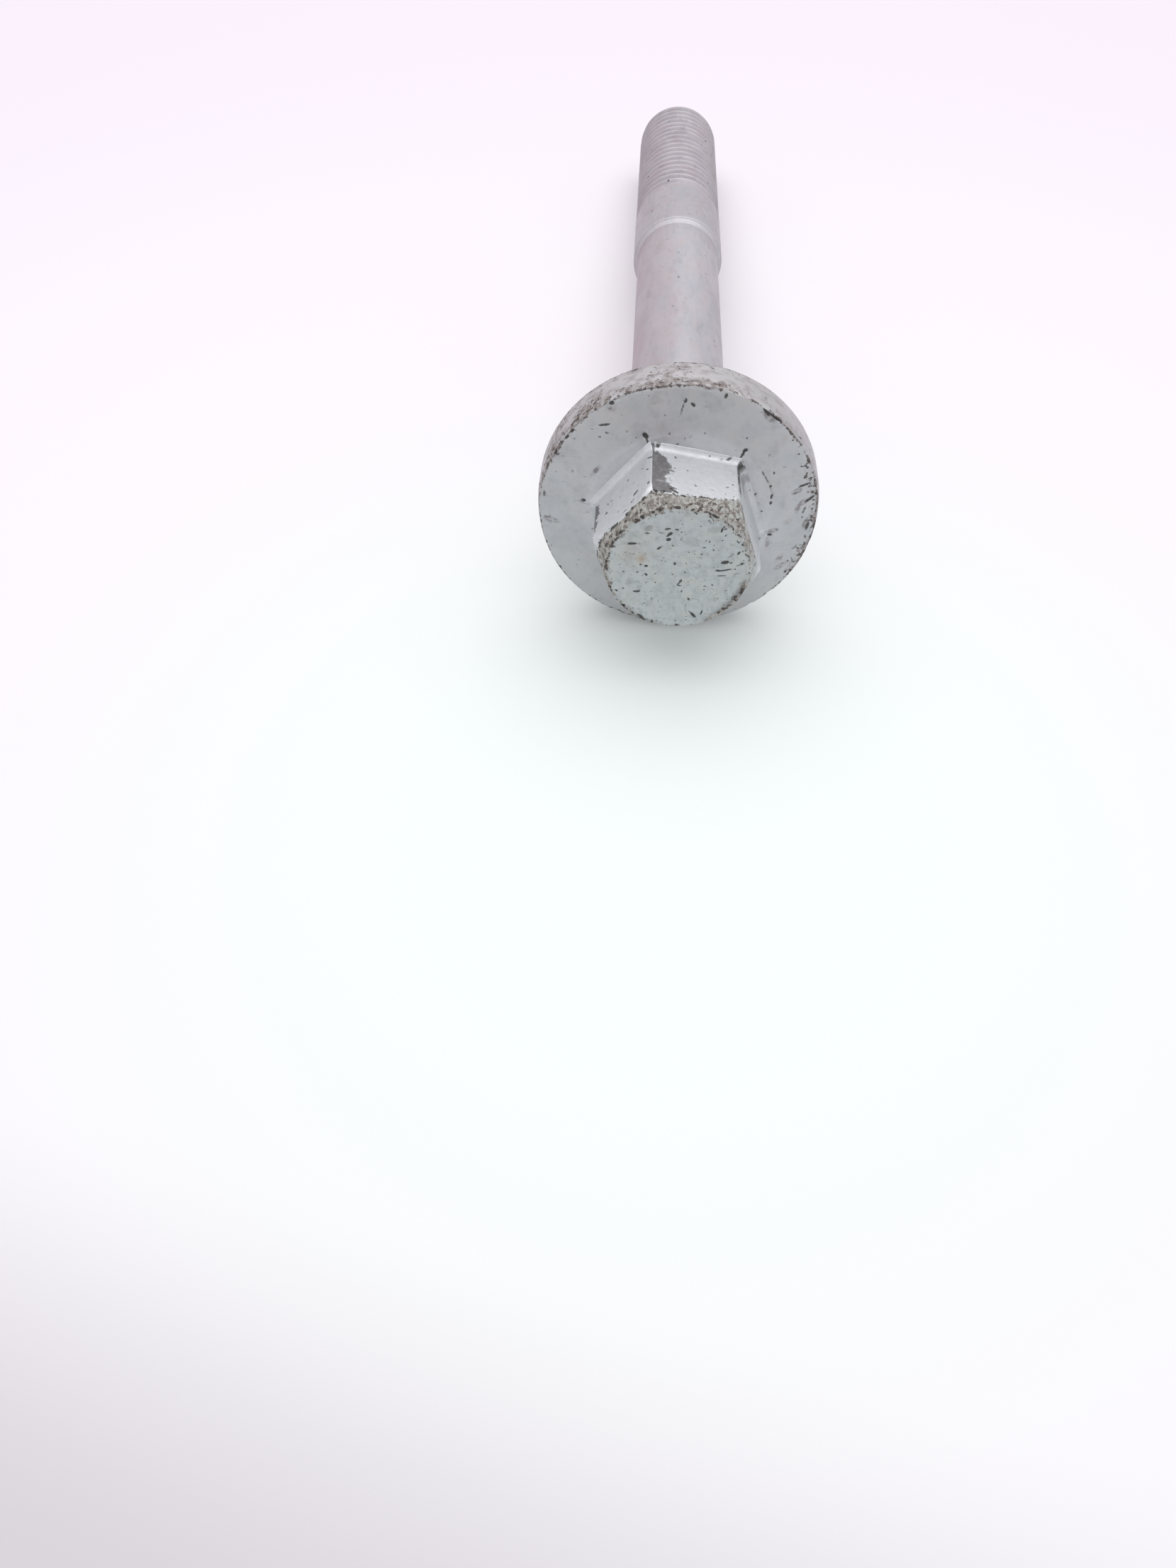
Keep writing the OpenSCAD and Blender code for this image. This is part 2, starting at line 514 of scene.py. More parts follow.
class ZincEffects:
    """The surface effects that every finish of the bolt uses, each a node group made once."""

    def __init__(self) -> None:
        """Builds the groups."""
        self.mottle = self._mottle()
        self.pits = self._pits()
        self.scratches = self._scratches()
        self.grime = self._grime()
        self.grain = self._grain()

    @staticmethod
    def _mottle() -> bpy.types.NodeTree:
        """Cloudy plate: a base colour that drifts cooler and warmer, with small stains.

        Returns:
            The group.
        """
        grey = (0.5, 0.5, 0.5)
        inputs = {
            "Place": None, "Scale": 600.0, "Strength": 0.5, "Stretch": 1.0, "Stains": 0.5,
            "Base": grey, "Cool": grey, "Warm": grey, "Stain": grey,
        }
        graph, at = new_group("zinc_mottle", inputs, ("Mottled colour", "Dullness"))
        squeeze = graph.add("ShaderNodeCombineXYZ", {0: 1.0, 1: at["Stretch"], 2: 1.0}).outputs[0]
        squeezed = {0: at["Place"], 1: squeeze}
        place = graph.add("ShaderNodeVectorMath", squeezed, operation="MULTIPLY").outputs[0]
        clouds = graph.noise(place, at["Scale"], 5.0, 0.62)
        washes = graph.noise(graph.shift(place, (0.031, 0.017, 0.047)), at["Scale"], 4.0, 0.6)
        finer = graph.math("MULTIPLY", at["Scale"], 2.6)
        blots = graph.noise(graph.shift(place, (0.011, 0.043, 0.023)), finer, 4.0, 0.6)
        cool = graph.math("MULTIPLY", graph.step(clouds, 0.42, 0.66), at["Strength"])
        warm = graph.math("MULTIPLY", graph.step(washes, 0.45, 0.68), at["Strength"])
        blot = graph.math("MULTIPLY", graph.step(blots, 0.54, 0.7), at["Stains"])
        colour = graph.mix(cool, at["Base"], at["Cool"])
        colour = graph.mix(warm, colour, at["Warm"])
        colour = graph.mix(blot, colour, at["Stain"])
        dullness = graph.step(clouds, 0.3, 0.7)
        return close_group(graph, {"Mottled colour": colour, "Dullness": dullness})

    @staticmethod
    def _pits() -> bpy.types.NodeTree:
        """Tiny pits: a share of the cells of a jittered grid, each with a ragged dark spot.

        Returns:
            The group.
        """
        inputs = {"Place": None, "Scale": 1500.0, "Share": 0.2, "Size": 0.3}
        graph, at = new_group("plate_pits", inputs, ("Pit",))
        wobble = graph.add(
            "ShaderNodeTexNoise", {"Vector": at["Place"], "Scale": 2600.0, "Detail": 2.0}
        )
        bent = graph.add(
            "ShaderNodeVectorMath",
            {0: wobble.outputs[1], 1: (0.0004, 0.0004, 0.0004), 2: at["Place"]},
            operation="MULTIPLY_ADD",
        )
        cells = graph.add("ShaderNodeTexVoronoi", {"Vector": bent.outputs[0], "Scale": at["Scale"]})
        draw = graph.add("ShaderNodeSeparateColor", {0: cells.outputs["Color"]})
        chosen = graph.math("LESS_THAN", draw.outputs[0], at["Share"])
        size = graph.math("MULTIPLY", at["Size"], graph.fade(draw.outputs[1], 0.35, 1.0))
        spot = graph.step(cells.outputs["Distance"], size, graph.math("MULTIPLY", size, 0.45))
        return close_group(graph, {"Pit": graph.math("MULTIPLY", spot, chosen)})

    @staticmethod
    def _scratches() -> bpy.types.NodeTree:
        """Hair scratches: the narrow contour of a stretched noise, kept in patches.

        Returns:
            The group.
        """
        inputs = {"Place": None, "Scale": 500.0, "Width": 0.02, "Amount": 0.5}
        graph, at = new_group("hair_scratches", inputs, ("Scratch",))
        lines = []
        for angle in ((0.5, 0.3, 0.2), (0.2, -0.7, 1.1)):
            mapping = graph.add("ShaderNodeMapping", {"Vector": at["Place"], "Rotation": angle})
            mapping.inputs["Scale"].default_value = (0.12, 1.0, 1.6)
            contour = graph.noise(mapping.outputs[0], at["Scale"], 1.0, 0.4)
            away = graph.math("ABSOLUTE", graph.math("SUBTRACT", contour, 0.5))
            lines.append(graph.step(away, at["Width"], 0.0))
        patches = graph.step(graph.noise(at["Place"], 420.0, 2.0), 0.5, 0.62)
        shown = graph.math("MULTIPLY", graph.math("MAXIMUM", *lines), patches)
        return close_group(graph, {"Scratch": graph.math("MULTIPLY", shown, at["Amount"])})

    @staticmethod
    def _grime() -> bpy.types.NodeTree:
        """Dirt in a torn surface: a crust broken into two tones, and black specks over it.

        Returns:
            The group.
        """
        inputs = {
            "Place": None, "Mask": 0.0, "Specks": 0.0, "Scale": 1300.0, "Speck scale": 3600.0,
            "Crust": (0.5, 0.45, 0.4), "Dirt": (0.2, 0.16, 0.13),
        }
        graph, at = new_group("torn_grime", inputs, ("Grime colour", "Cover", "Speck"))
        coarse = graph.noise(at["Place"], at["Scale"], 4.0, 0.65)
        tone = graph.noise(graph.shift(at["Place"], (0.013, 0.029, 0.007)), at["Scale"], 5.0, 0.7)
        edge = graph.fade(at["Mask"], 0.85, 0.15)
        cover = graph.step(coarse, edge, graph.math("ADD", edge, 0.2))
        colour = graph.mix(graph.step(tone, 0.42, 0.6), at["Crust"], at["Dirt"])
        moved = graph.shift(at["Place"], (0.037, 0.005, 0.019))
        fine = graph.noise(moved, at["Speck scale"], 3.0, 0.6)
        rim = graph.fade(at["Specks"], 0.74, 0.5)
        speck = graph.step(fine, rim, graph.math("ADD", rim, 0.05))
        speck = graph.math("MULTIPLY", speck, graph.step(at["Specks"], 0.02, 0.12))
        return close_group(graph, {"Grime colour": colour, "Cover": cover, "Speck": speck})

    @staticmethod
    def _grain() -> bpy.types.NodeTree:
        """The plate's fine relief: crystal grain over a softer orange peel.

        Returns:
            The group.
        """
        inputs = {"Place": None, "Grain scale": 9000.0, "Peel scale": 1500.0, "Peel": 0.6}
        graph, at = new_group("plate_grain", inputs, ("Relief",))
        grain = graph.noise(at["Place"], at["Grain scale"], 2.0, 0.6)
        peel = graph.noise(at["Place"], at["Peel scale"], 3.0, 0.55)
        return close_group(graph, {"Relief": graph.fade(at["Peel"], grain, peel)})


@dataclass(frozen=True)
class ZincFinish:
    """One finish of the bolt's zinc plate, with all that tells it from the others.

    Scales count features in a metre. Shares and strengths run from 0 to 1.
    """

    name: str
    slot: str
    base: Rgb
    cool: Rgb
    warm: Rgb
    stain: Rgb
    mottle_scale: float
    mottle: float = 0.6
    stretch: float = 1.0
    stains: float = 0.5
    pit_scale: float = 1400.0
    pit_share: float = 0.12
    pit_size: float = 0.28
    scratch: float = 0.35
    rough_low: float = 0.42
    rough_high: float = 0.6
    metallic: float = 0.4
    # The scuffed colour, also used for the painted shade that the scuffs' mask carries.
    scuffed: Rgb = srgb(114, 112, 115)
    # The light plate colour, for painted highlights and sheen as well as plate that rubbing left
    # lighter.
    wear_and_light: Rgb = srgb(226, 226, 232)
    soot: Rgb = srgb(50, 48, 47)
    tint: Rgb = srgb(172, 152, 130)
    crust: Rgb = srgb(182, 181, 177)
    dirt: Rgb = srgb(125, 118, 113)
    speck: Rgb = srgb(58, 51, 48)
    grime_scale: float = 2300.0
    speck_scale: float = 2300.0
    bump: float = 0.35

    def build(self, effects: ZincEffects) -> bpy.types.Material:
        """Makes the material: mottled plate, then scuffs and painted shade, wear and painted sheen,
        tint, dirt, pits and scratches.

        Args:
            effects: The shared node groups.

        Returns:
            The material.
        """
        material = bpy.data.materials.new(self.name)
        material.use_nodes = True
        material.node_tree.nodes.clear()
        graph = Graph(material.node_tree)
        place = graph.add("ShaderNodeTexCoord", {}).outputs["Object"]
        wear_and_light = {
            kind: graph.add("ShaderNodeAttribute", {}, attribute_name=kind.value).outputs["Fac"]
            for kind in Wear
        }

        def effect(tree: bpy.types.NodeTree, inputs: dict[str, object]) -> bpy.types.Node:
            """Places a shared group with this finish's own values."""
            return graph.add("ShaderNodeGroup", {"Place": place, **inputs}, node_tree=tree)

        mottle = effect(effects.mottle, {
            "Scale": self.mottle_scale, "Strength": self.mottle, "Stretch": self.stretch,
            "Stains": self.stains, "Base": self.base, "Cool": self.cool, "Warm": self.warm,
            "Stain": self.stain,
        })
        pits = effect(effects.pits, {
            "Scale": self.pit_scale, "Share": self.pit_share, "Size": self.pit_size,
        }).outputs["Pit"]
        scratches = effect(effects.scratches, {"Amount": self.scratch}).outputs["Scratch"]
        grime = effect(effects.grime, {
            "Mask": wear_and_light[Wear.GRIME], "Specks": wear_and_light[Wear.SPECKS], "Scale": self.grime_scale,
            "Speck scale": self.speck_scale, "Crust": self.crust, "Dirt": self.dirt,
        })
        grain = effect(effects.grain, {}).outputs["Relief"]
        torn = graph.math("SUBTRACT", graph.noise(place, 2200.0, 4.0, 0.65), 0.5)

        def broken(kind: Wear, ripple: float) -> Socket:
            """A soft mask, of wear or of painted light and shade, stronger and weaker by noise."""
            gain = graph.math("MULTIPLY_ADD", torn, ripple, 1.0)
            return graph.clamp(graph.math("MULTIPLY", wear_and_light[kind], gain))

        scuff_and_shade, sheen_and_polish = broken(Wear.SCUFF_AND_SHADE, 1.6), broken(Wear.SHEEN_AND_POLISH, 1.3)
        dark = graph.step(graph.math("MULTIPLY_ADD", torn, 0.4, wear_and_light[Wear.DARK]), 0.22, 0.8)
        hole = graph.math("MAXIMUM", dark, pits)
        speck = grime.outputs["Speck"]
        # Scuffs, and painted shade where that mask carries it, in the scuffed colour.
        colour = graph.mix(scuff_and_shade, mottle.outputs["Mottled colour"], self.scuffed)
        # The light plate colour over the sheen and polish mask: painted highlights and sheen, and
        # partly plate that rubbing left lighter.
        colour = graph.mix(graph.math("MULTIPLY", sheen_and_polish, 0.85), colour, self.wear_and_light)
        colour = graph.mix(broken(Wear.STAIN, 1.0), colour, self.tint)
        colour = graph.mix(grime.outputs["Cover"], colour, grime.outputs["Grime colour"])
        colour = graph.mix(graph.math("MULTIPLY", scratches, 0.35), colour, self.scuffed)
        colour = graph.mix(graph.math("MULTIPLY", speck, 0.88), colour, self.speck)
        # The soot colour, also used for the painted shade in the flats' corner creases and along
        # the rim's rear edge.
        colour = graph.mix(graph.math("MULTIPLY", hole, 0.88), colour, self.soot)
        rough = graph.fade(mottle.outputs["Dullness"], self.rough_low, self.rough_high)
        rough = graph.fade(scuff_and_shade, rough, 0.6)
        rough = graph.fade(sheen_and_polish, rough, 0.38)
        dirty = graph.math("MAXIMUM", graph.math("MAXIMUM", grime.outputs["Cover"], hole), speck)
        rough = graph.fade(dirty, rough, 0.8)
        metal = graph.fade(dirty, self.metallic, 0.1)
        relief = graph.math("MULTIPLY_ADD", pits, -0.5, grain)
        relief = graph.math("MULTIPLY_ADD", speck, -0.5, relief)
        relief = graph.math("MULTIPLY_ADD", scratches, -0.15, relief)
        bump = graph.add(
            "ShaderNodeBump", {"Height": relief, "Strength": self.bump, "Distance": 0.0001}
        ).outputs[0]
        shader = graph.add("ShaderNodeBsdfPrincipled", {
            "Base Color": colour, "Roughness": rough, "Metallic": metal, "Normal": bump,
        })
        graph.add("ShaderNodeOutputMaterial", {0: shader.outputs[0]})
        return material


HEAD_FINISH = ZincFinish(
    name="head_zinc", slot="head_zinc",
    base=srgb(188, 194, 196), cool=srgb(172, 178, 180), warm=srgb(194, 196, 192),
    stain=srgb(152, 157, 158), mottle_scale=950.0, mottle=0.65, stains=0.6, pit_share=0.16,
    bump=0.5,
)
COLLAR_FINISH = ZincFinish(
    name="flange_zinc", slot="flange_zinc",
    base=srgb(190, 192, 195), cool=srgb(178, 183, 187), warm=srgb(195, 192, 193),
    stain=srgb(160, 160, 164), mottle_scale=320.0, mottle=0.6, stains=0.3, pit_share=0.04,
    speck=srgb(78, 71, 68), crust=srgb(174, 169, 171), dirt=srgb(132, 122, 120),
    scuffed=srgb(134, 129, 132), tint=srgb(172, 162, 167), grime_scale=1500.0,
)
SHANK_FINISH = ZincFinish(
    name="shank_zinc", slot="shank_zinc",
    base=srgb(184, 179, 186), cool=srgb(172, 172, 181), warm=srgb(182, 172, 177),
    stain=srgb(160, 153, 161), mottle_scale=480.0, mottle=0.7, stretch=0.35, stains=0.5,
    pit_share=0.05, scratch=0.2, tint=srgb(172, 156, 163), scuffed=srgb(138, 133, 140),
    speck=srgb(104, 94, 92),
)
THREAD_FINISH = ZincFinish(
    name="thread_zinc", slot="thread_zinc",
    base=srgb(184, 177, 184), cool=srgb(172, 169, 177), warm=srgb(180, 168, 174),
    stain=srgb(152, 145, 153), mottle_scale=420.0, mottle=0.7, stretch=0.6, stains=0.5,
    pit_share=0.05, scratch=0.2, tint=srgb(168, 152, 158), scuffed=srgb(134, 128, 136),
    crust=srgb(160, 150, 156), dirt=srgb(132, 123, 129), speck=srgb(96, 88, 90),
)


# ---------------------------------------------------------------- the head: hexagon and collar

# Dents and pits on the end face, as (x, z).
FACE_MARKS: Marks = (
    Mark(4.5, 1.0, 0.9, 0.42, 12, 0.12, 1.0),
    Mark(4.6, 0.12, 1.3, 0.2, 14, 0.06, 0.8),
    Mark(3.85, 0.05, 0.4, 0.2, 0, 0.06, 0.95),
    Mark(4.35, -0.55, 0.9, 0.18, 4, 0.04, 0.6),
    Mark(5.7, -0.3, 0.9, 0.2, 20, 0.03, 0.5),
    Mark(5.7, 2.15, 0.45, 0.26, 60, 0.06, 0.95),
    Mark(5.0, 1.8, 0.9, 0.18, 38, 0.03, 0.5),
    Mark(5.95, 0.8, 0.9, 0.19, 20, 0.03, 0.6),
    Mark(6.15, 0.95, 0.26, 0.24, 0, 0.04, 0.9),
    Mark(6.6, 1.85, 0.8, 0.17, -38, 0.05, 0.85),
    Mark(3.15, 6.2, 0.7, 0.45, -30, 0.12, 1.0),
    Mark(3.65, 6.1, 0.7, 0.16, 8, 0.05, 0.85),
    Mark(2.8, 6.0, 0.6, 0.14, -45, 0.04, 0.7),
    Mark(5.2, 5.6, 0.55, 0.4, -50, 0.10, 1.0),
    Mark(4.95, 5.0, 0.75, 0.19, 85, 0.06, 0.9),
    Mark(5.4, 5.15, 0.5, 0.15, 80, 0.04, 0.7),
    Mark(3.9, 4.65, 0.55, 0.22, 80, 0.06, 0.9),
    Mark(4.2, 4.8, 0.35, 0.17, 20, 0.04, 0.8),
    Mark(5.65, 4.65, 0.26, 0.17, 20, 0.04, 0.8),
    Mark(2.4, 2.65, 0.45, 0.17, 5, 0.04, 0.8),
    Mark(2.85, 3.35, 0.28, 0.18, 60, 0.03, 0.7),
    Mark(3.3, 2.95, 0.2, 0.17, 0, 0.03, 0.75),
    Mark(1.9, 5.05, 0.19, 0.16, 0, 0.03, 0.75),
    Mark(-3.6, 5.82, 0.5, 0.42, -50, 0.10, 1.0),
    Mark(-4.3, 5.5, 0.45, 0.26, 10, 0.04, 0.6),
    Mark(-4.5, 2.83, 0.85, 0.24, 4, 0.08, 1.0),
    Mark(-3.6, 0.45, 0.24, 0.22, 0, 0.05, 0.9),
    Mark(-3.0, -0.7, 0.42, 0.24, -45, 0.06, 0.9),
    Mark(-5.2, -0.45, 0.26, 0.2, 0, 0.04, 0.75),
    Mark(-3.05, 4.08, 0.45, 0.18, 0, 0.04, 0.85),
    Mark(-1.05, 3.42, 0.5, 0.34, 10, 0.06, 1.0),
    Mark(-0.95, 4.05, 0.6, 0.32, 35, 0.06, 1.0),
    Mark(-1.2, 4.6, 0.5, 0.22, 15, 0.04, 0.85),
    Mark(-0.3, 4.6, 0.4, 0.2, 0, 0.04, 0.8),
    Mark(-1.9, 2.45, 0.5, 0.22, 50, 0.04, 0.85),
    Mark(-3.75, -2.78, 0.5, 0.26, 15, 0.05, 0.9),
    Mark(-3.04, 0.3, 0.36, 0.28, 0, 0.05, 0.9),
    Mark(0.32, -1.52, 0.75, 0.2, 50, 0.04, 0.8),
    Mark(-1.15, 3.85, 0.4, 0.22, 30, 0.05, 0.75),
    Mark(-1.7, 4.15, 0.8, 0.18, -8, 0.03, 0.5),
    Mark(-1.75, 2.5, 0.6, 0.2, 45, 0.03, 0.55),
    Mark(-1.4, 1.3, 0.2, 0.18, 0, 0.03, 0.6),
    Mark(-4.0, -2.8, 0.55, 0.22, -15, 0.05, 0.9),
    Mark(-5.85, -2.75, 0.34, 0.2, -35, 0.05, 0.85),
    Mark(-5.2, -2.5, 0.3, 0.18, 70, 0.04, 0.7),
    Mark(-5.15, -4.6, 0.5, 0.4, -10, 0.05, 0.75),
    Mark(-3.45, -5.75, 0.65, 0.3, -20, 0.06, 0.7),
    Mark(-2.7, -6.25, 0.5, 0.2, -30, 0.04, 0.6),
    Mark(0.3, -1.9, 0.6, 0.14, -4, 0.03, 0.8),
    Mark(0.35, -1.25, 0.5, 0.18, 50, 0.03, 0.6),
    Mark(1.3, -3.5, 0.26, 0.24, 0, 0.05, 0.95),
    Mark(1.85, -5.45, 0.8, 0.26, -48, 0.07, 1.0),
    Mark(2.7, -5.1, 0.6, 0.22, 78, 0.05, 0.9),
    Mark(3.5, -1.7, 0.35, 0.17, -60, 0.03, 0.65),
    Mark(4.4, -2.85, 0.3, 0.14, 0, 0.03, 0.5),
)
# Soft smears on the end face, as (x, z).
FACE_SMEARS: Marks = (
    Mark(-4.5, -5.1, 1.6, 0.7, -42, 0.0, 0.5),
    Mark(-3.0, 4.65, 0.9, 0.5, 35, 0.0, 0.45),
    Mark(-5.8, 3.6, 1.1, 0.6, 25, 0.0, 0.75),
    Mark(4.35, 5.85, 0.9, 0.8, -20, 0.0, 0.55),
    Mark(-4.7, -1.7, 0.6, 0.9, 10, 0.0, 0.25),
    Mark(3.3, 4.7, 1.5, 0.7, 20, 0.0, 0.25),
    Mark(1.2, 3.3, 1.6, 0.8, 0, 0.0, 0.2),
    Mark(3.9, -5.6, 1.1, 0.5, 35, 0.0, 0.6),
    Mark(5.9, -2.9, 1.3, 0.6, 55, 0.0, 0.5),
)
# How far spanner jaws wore into each flat, as (mm from the foot, mm in from the corner they wore).
FLAT_RUBS = (
    (
        (0.3, 0.3), (0.9, 1.0), (1.5, 1.4), (2.1, 2.0), (2.9, 2.3),
        (3.8, 1.8), (4.6, 1.5), (5.6, 1.6), (6.4, 2.1), (7.2, 1.8),
    ),
    ((0.5, 0.0), (1.1, 0.5), (2.5, 0.72), (4.0, 0.6), (5.0, 0.3), (5.7, 0.0)),
    ((0.6, 0.0), (1.4, 0.9), (3.0, 1.2), (4.5, 0.9), (5.8, 0.3), (6.2, 0.0)),
    ((0.8, 0.0), (1.6, 0.5), (3.2, 0.6), (4.8, 0.3), (5.4, 0.0)),
    ((0.5, 0.0), (1.2, 1.1), (2.6, 1.5), (4.2, 1.0), (5.6, 0.4), (6.2, 0.0)),
    ((0.0, 0.3), (0.8, 0.45), (1.6, 0.4), (3.0, 0.3), (4.9, 0.0)),
)
# Marks on each flat, as (mm along from its middle, mm from the foot).
FLAT_MARKS: tuple[Marks, ...] = (
    (
        Mark(-1.95, 0.95, 0.5, 0.2, 70, 0.04, 0.75),
        Mark(-0.75, 2.9, 0.28, 0.22, 20, 0.05, 0.9),
        Mark(-0.2, 2.35, 0.2, 0.16, 0, 0.03, 0.5),
        Mark(0.0, 5.05, 0.45, 0.13, 90, 0.03, 0.65),
        Mark(3.1, 4.45, 0.4, 0.2, -20, 0.04, 0.75),
        Mark(1.7, 5.35, 0.4, 0.22, 30, 0.03, 0.55),
        Mark(2.9, 5.7, 0.45, 0.14, 105, 0.03, 0.65),
        Mark(-0.3, 5.9, 0.9, 0.12, -28, 0.02, 0.5),
        Mark(-1.9, 6.85, 0.6, 0.35, 35, 0.06, 0.9),
        Mark(-2.35, 6.5, 0.4, 0.24, 30, 0.04, 0.8),
        Mark(3.3, 0.1, 0.6, 0.16, -15, 0.03, 0.7),
        Mark(2.6, 0.2, 0.5, 0.14, -10, 0.03, 0.5),
        Mark(-3.75, 0.05, 0.4, 0.3, 20, 0.05, 0.8),
    ),
    (
        Mark(-2.3, 3.9, 0.5, 0.34, 50, 0.06, 0.95),
        Mark(-2.15, 2.5, 0.55, 0.18, 60, 0.04, 0.8),
        Mark(-1.75, 2.55, 0.5, 0.2, 70, 0.03, 0.5),
        Mark(-0.8, 1.25, 0.4, 0.18, 70, 0.03, 0.45),
        Mark(0.6, 2.8, 0.35, 0.2, 60, 0.03, 0.4),
        Mark(1.6, 3.15, 0.4, 0.18, 50, 0.03, 0.55),
        Mark(3.6, 3.1, 0.5, 0.2, 40, 0.05, 0.85),
        Mark(2.0, 5.2, 0.75, 0.42, -20, 0.08, 1.0),
        Mark(3.8, 5.6, 0.42, 0.3, 50, 0.06, 0.95),
        Mark(3.95, 1.4, 1.1, 0.2, 39, 0.05, 0.9),
        Mark(2.3, 4.3, 0.35, 0.16, 70, 0.03, 0.55),
        Mark(1.5, 6.2, 0.4, 0.25, 60, 0.04, 0.75),
        Mark(0.5, 6.6, 0.9, 0.3, 10, 0.04, 0.6),
    ),
    (), (), (),
    (
        Mark(2.4, 3.4, 0.5, 0.2, 70, 0.04, 0.7),
        Mark(0.6, 2.0, 0.3, 0.2, 0, 0.04, 0.6),
    ),
)
FLAT_SMEARS: tuple[Marks, ...] = ((), (), (), (), (), (Mark(-2.4, 0.9, 3.0, 1.1, 80, 0.0, 0.9),))
# How much painted sheen each flat gets, partly cleaner plate, and how strong the painted shade in
# the crease by its higher-angled corner is.
FLAT_SHEEN = (0.72, 0.62, 0.3, 0.25, 0.25, 0.4)
CORNER_CREASE_SHADE = (0.0, 0.15, 0.35, 0.45, 0.55, 0.68)
# How strong each flat's painted highlight by its lower-angled corner is, and its painted shade
# along its foot.
SIDE_LIGHT = (0.135, 0.9, 0.135, 0.135, 0.135, 0.135)
FOOT_SHADE = (0.38, 0.114, 0.114, 0.114, 0.114, 0.114)
# Where the torn crown climbs the head's side, as (height in mm, angle and width in degrees).
CROWN_CLIMBS = ((1.1, 48.0, 14.0), (0.4, 110.0, 8.0), (-0.45, 142.0, 15.0))
# The crown's tan patches, as (x, z, reach in mm, strength).
TAN_SPOT = (-3.5, 1.1, 0.4, 0.6)
TAN_WASH = (-4.0, 2.2, 1.6, 0.22)
# A ring-shaped scratch on the end face, as (x, z, half width, half height) in mm.
RING_SCRATCH = (1.9, -4.6, 0.85, 1.15)
# Pits, drags and scratches on the collar's front, as (x, z).
COLLAR_MARKS: Marks = (
    Mark(-3.62, 9.1, 0.6, 0.46, -45, 0.22, 1.0),
    Mark(-3.38, 8.55, 0.95, 0.24, -66, 0.10, 0.85),
    Mark(6.1, 7.85, 0.5, 0.34, 20, 0.20, 1.0),
    Mark(5.85, 7.4, 0.95, 0.24, 62, 0.10, 0.9),
    Mark(-0.17, 12.15, 1.9, 0.22, 76, 0.03, 0.62),
    Mark(0.07, 12.65, 0.5, 0.28, 70, 0.05, 0.85),
    Mark(0.78, 12.25, 0.55, 0.32, -35, 0.06, 0.95),
    Mark(-0.6, 8.3, 0.65, 0.3, 25, 0.04, 0.7),
    Mark(-1.35, 9.4, 0.36, 0.3, 80, 0.03, 0.55),
    Mark(0.75, 9.2, 0.55, 0.3, 10, 0.02, 0.4),
    Mark(2.05, 9.6, 0.28, 0.2, 20, 0.03, 0.6),
    Mark(-7.5, 9.92, 1.2, 0.25, 12, 0.04, 0.75),
    Mark(3.8, 13.15, 0.45, 0.32, 60, 0.06, 0.95),
    Mark(-9.6, 1.4, 1.8, 0.2, -15, 0.03, 0.4),
    Mark(8.5, 7.3, 0.4, 0.22, 60, 0.03, 0.5),
    Mark(10.1, 6.0, 0.45, 0.22, 0, 0.03, 0.45),
    Mark(6.1, 9.1, 0.22, 0.2, 0, 0.04, 0.75),
    Mark(7.75, 11.75, 1.1, 0.42, -55, 0.10, 0.95),
    Mark(8.75, 11.1, 1.5, 0.4, -36, 0.08, 0.9),
    Mark(-6.95, 12.1, 0.5, 0.36, 30, 0.08, 0.9),
    Mark(-10.8, 9.0, 0.5, 0.4, 40, 0.08, 0.85),
    Mark(-11.35, 8.3, 0.55, 0.35, 50, 0.06, 0.75),
    Mark(-12.45, 6.6, 0.6, 0.32, 60, 0.06, 0.75),
    Mark(-13.6, 1.9, 0.7, 0.3, 85, 0.06, 0.6),
    Mark(-13.3, -0.9, 0.8, 0.24, 0, 0.06, 0.5),
    Mark(12.3, 3.9, 1.1, 0.3, 18, 0.05, 0.8),
    Mark(11.6, 3.1, 0.8, 0.22, 30, 0.03, 0.6),
    Mark(13.1, 2.3, 1.2, 0.32, 40, 0.05, 0.75),
    Mark(12.7, 1.0, 1.0, 0.3, 75, 0.04, 0.6),
    Mark(13.3, -0.9, 1.1, 0.34, 80, 0.05, 0.75),
    Mark(12.4, -3.4, 0.8, 0.28, 60, 0.04, 0.55),
    Mark(7.2, 6.5, 1.7, 0.15, -47, 0.02, 0.26),
    Mark(8.3, 5.1, 1.5, 0.17, -57, 0.02, 0.32),
    Mark(9.1, 3.6, 1.3, 0.19, -73, 0.02, 0.4),
    Mark(9.0, 4.0, 0.34, 0.26, 70, 0.05, 0.9),
    Mark(9.2, 2.85, 0.5, 0.24, 85, 0.05, 0.85),
    Mark(9.2, 2.1, 0.4, 0.26, 85, 0.05, 0.8),
    Mark(7.5, 3.0, 0.45, 0.22, 65, 0.05, 0.85),
    Mark(7.9, 2.0, 0.4, 0.2, 65, 0.04, 0.6),
    Mark(8.3, 1.1, 0.34, 0.22, 70, 0.04, 0.75),
)
